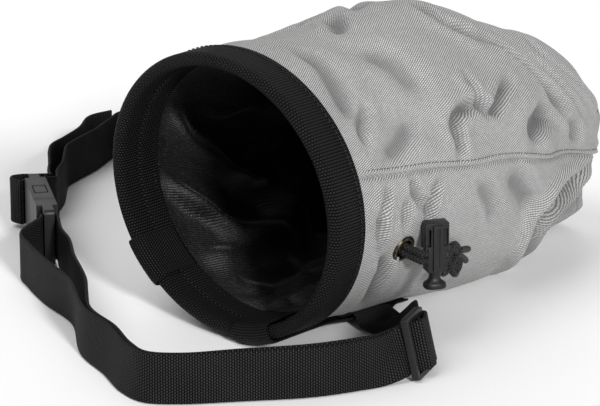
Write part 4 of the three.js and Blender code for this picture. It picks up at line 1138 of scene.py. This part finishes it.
def moulded(name, node, radius, steps=3):
    """A moulded part with rounded edges in the place of a CAD node."""
    work = bmesh.new()
    work.from_mesh(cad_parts[node].data)
    bmesh.ops.remove_doubles(work, verts=work.verts, dist=1e-6)
    bmesh.ops.dissolve_limit(work, angle_limit=math.radians(2), verts=work.verts, edges=work.edges)
    mesh = bpy.data.meshes.new(name)
    work.to_mesh(mesh)
    work.free()
    made = bpy.data.objects.new(name, mesh)
    bpy.context.scene.collection.objects.link(made)
    rounding = made.modifiers.new("rounding", "BEVEL")
    rounding.width = radius * 0.001
    rounding.segments = steps
    rounding.limit_method = "ANGLE"
    rounding.angle_limit = math.radians(35)
    rounding.use_clamp_overlap = True
    evaluated = made.evaluated_get(bpy.context.evaluated_depsgraph_get())
    done = bpy.data.meshes.new_from_object(evaluated)
    bpy.data.objects.remove(made)
    done.name = name
    done.shade_smooth()
    done.set_sharp_from_angle(angle=math.radians(38))
    done.materials.clear()
    return done


piece("slider_moulding", moulded("slider_moulding", "belt_slider", 0.55), black_plastic, "plastic", "belt_slider")
piece("buckle_sleeve", moulded("buckle_sleeve", "buckle_socket", 0.6), black_plastic, "plastic", "buckle_socket")
piece("buckle_tongue", moulded("buckle_tongue", "buckle_plug", 0.45), black_plastic, "plastic", "buckle_plug")

# Eyelet. A brass eyelet in two parts, blackened and rubbed bright on its crown, set through the shell under the
# rim binding. The drawcord leaves the hem through it.


def brass_finish(name):
    finish = Finish(name, Metallic=1.0)
    wear = finish.place.noise(520, 4, 0.65)
    fine = finish.place.noise(3000, 2)
    tone = wear.clipped(0.35, 0.68).blend((0.028, 0.022, 0.016, 1), (0.2, 0.16, 0.105, 1))
    relief = wear * 0.7 + fine * 0.3
    return finish.feed(Base_Color=tone, Roughness=0.22 + wear * 0.3, Normal=relief.bump(0.25, 0.0001))


eyelet_radius, eyelet_bore, eyelet_barrel = 5.8, 3.9, 4.3
crown = [(eyelet_barrel, -1.4), (eyelet_barrel, 0.3), (eyelet_radius - 0.1, 0.3)]
crown += [
    (4.85 + 0.98 * math.cos(t), 0.42 + 0.95 * math.sin(t)) for t in np.linspace(0.05, math.pi - 0.1, 12)
]
crown += [(eyelet_bore, 0.3), (eyelet_bore, -1.4)]
out = Vector(eyelet_out).normalized()
turn = Vector((0, 0, 1)).rotation_difference(out).to_matrix()
spin = np.arange(64) * 2 * math.pi / 64
rings = np.array([[[r * math.cos(t), r * math.sin(t), h] for t in spin] for r, h in crown])
rings = rings @ np.array(turn).T + eyelet_seat
run = np.arange(len(crown) + 1) * 0.5
mesh = surface(
    "eyelet_brass",
    rings,
    np.repeat(run[:, None], 65, axis=1),
    np.repeat(np.arange(65)[None] * 0.5, len(crown) + 1, axis=0),
    round_rows=True,
)
piece("eyelet_brass", mesh, brass_finish("blackened_brass"), "dark_brass", "eyelet")

# Cord lock. A spring-loaded toggle in black acetal: a flat body with a wide head, a rib down its face and a recess
# beside it, and a plunger with a waisted neck. The cord goes through both, across the body, gripped by the spring.
lock_bottom, lock_centre, lock_turn = 32.4, (-66.7, -64.6), math.radians(30)


def in_lock(points):
    """From the lock's own width, depth and height to the bag's frame."""
    points = np.asarray(points, float).reshape(-1, 3)
    c, s = math.cos(lock_turn), math.sin(lock_turn)
    x = lock_centre[0] + points[:, 0] * c - points[:, 1] * s
    y = lock_centre[1] - points[:, 0] * s - points[:, 1] * c
    return np.stack([x, y, points[:, 2] + lock_bottom], axis=1) * 0.001


def block(w, d, h):
    """A box between two widths, two depths and two heights, as a mesh."""
    corners = [(x, y, z) for z in h for y in d for x in w]
    faces = [(0, 2, 3, 1), (4, 5, 7, 6), (0, 1, 5, 4), (2, 6, 7, 3), (0, 4, 6, 2), (1, 3, 7, 5)]
    mesh = bpy.data.meshes.new("block")
    mesh.from_pydata(in_lock(corners).tolist(), [], faces)
    mesh.flip_normals()
    return mesh


def carved(name, joined, removed, radius):
    """Blocks joined to one body, others cut out of it, and every edge rounded."""
    made = bpy.data.objects.new(name, joined[0])
    bpy.context.scene.collection.objects.link(made)
    tools = []
    for how, meshes in (("UNION", joined[1:]), ("DIFFERENCE", removed)):
        for mesh in meshes:
            tool = bpy.data.objects.new("tool", mesh)
            bpy.context.scene.collection.objects.link(tool)
            step = made.modifiers.new("step", "BOOLEAN")
            step.operation = how
            step.object = tool
            tools.append(tool)
    rounding = made.modifiers.new("rounding", "BEVEL")
    rounding.width = radius * 0.001
    rounding.segments = 3
    rounding.limit_method = "ANGLE"
    rounding.angle_limit = math.radians(35)
    done = bpy.data.meshes.new_from_object(made.evaluated_get(bpy.context.evaluated_depsgraph_get()))
    for leftover in [made, *tools]:
        bpy.data.objects.remove(leftover)
    done.name = name
    done.shade_smooth()
    done.set_sharp_from_angle(angle=math.radians(38))
    return done


lock_mesh = carved(
    "lock_shell",
    [
        block((-4.8, 4.8), (-3.0, 3.0), (9.2, 20)),
        block((-3.8, 3.8), (-3.1, 3.3), (0, 11)),
        block((-1.9, 1.9), (0, 4.2), (0.6, 19.2)),
    ],
    [
        block((-4.2, -2.6), (2.0, 6), (10.6, 17.6)),
        block((2.6, 4.2), (2.0, 6), (10.6, 17.6)),
        block((-0.7, 0.7), (3.7, 6), (2.0, 18)),
        block((-8, 8), (-1.9, 1.9), (3.0, 9.8)),
        block((-3.0, 3.0), (-2.55, 2.55), (-1, 18)),
    ],
    0.45,
)
piece("lock_shell", lock_mesh, black_plastic, "plastic", "lock_body")

neck = np.array(
    [
        # height, half width, half depth
        [14.0, 2.5, 2.1], [13.6, 2.7, 2.3], [0.6, 2.7, 2.3], [-0.4, 2.65, 2.3], [-1.6, 2.3, 2.1], [-2.6, 2.2, 2.0],
        [-3.6, 2.45, 2.2], [-4.4, 3.2, 2.7], [-5.0, 4.1, 3.3], [-5.5, 4.45, 3.5], [-6.7, 4.5, 3.6], [-7.1, 4.25, 3.4],
        [-7.3, 3.7, 3.0],
    ]
)
spin = np.arange(40) * 2 * math.pi / 40


def squarish(wave, power):
    return np.sign(wave) * np.abs(wave) ** power


rings = []
for height, wide, deep in neck:
    power = 0.45 if height > 0 else 0.7
    x, y = wide * squarish(np.cos(spin), power), deep * squarish(np.sin(spin), power)
    rings.append(in_lock(np.stack([x, y, np.full(40, height)], axis=1)) * 1000)
rings = np.array(rings)
stem = surface(
    "lock_button",
    rings,
    np.repeat(neck[:, :1], 41, axis=1),
    np.repeat(np.arange(41)[None] * 0.6, len(neck), axis=0),
    capped=True,
)
stem.materials.clear()
lock_button = carved("lock_button", [stem], [block((-8, 8), (-1.8, 1.8), (-0.4, 9.8))], 0.12)
piece("lock_button", lock_button, black_plastic, "plastic", "lock_plunger", body="plunger")
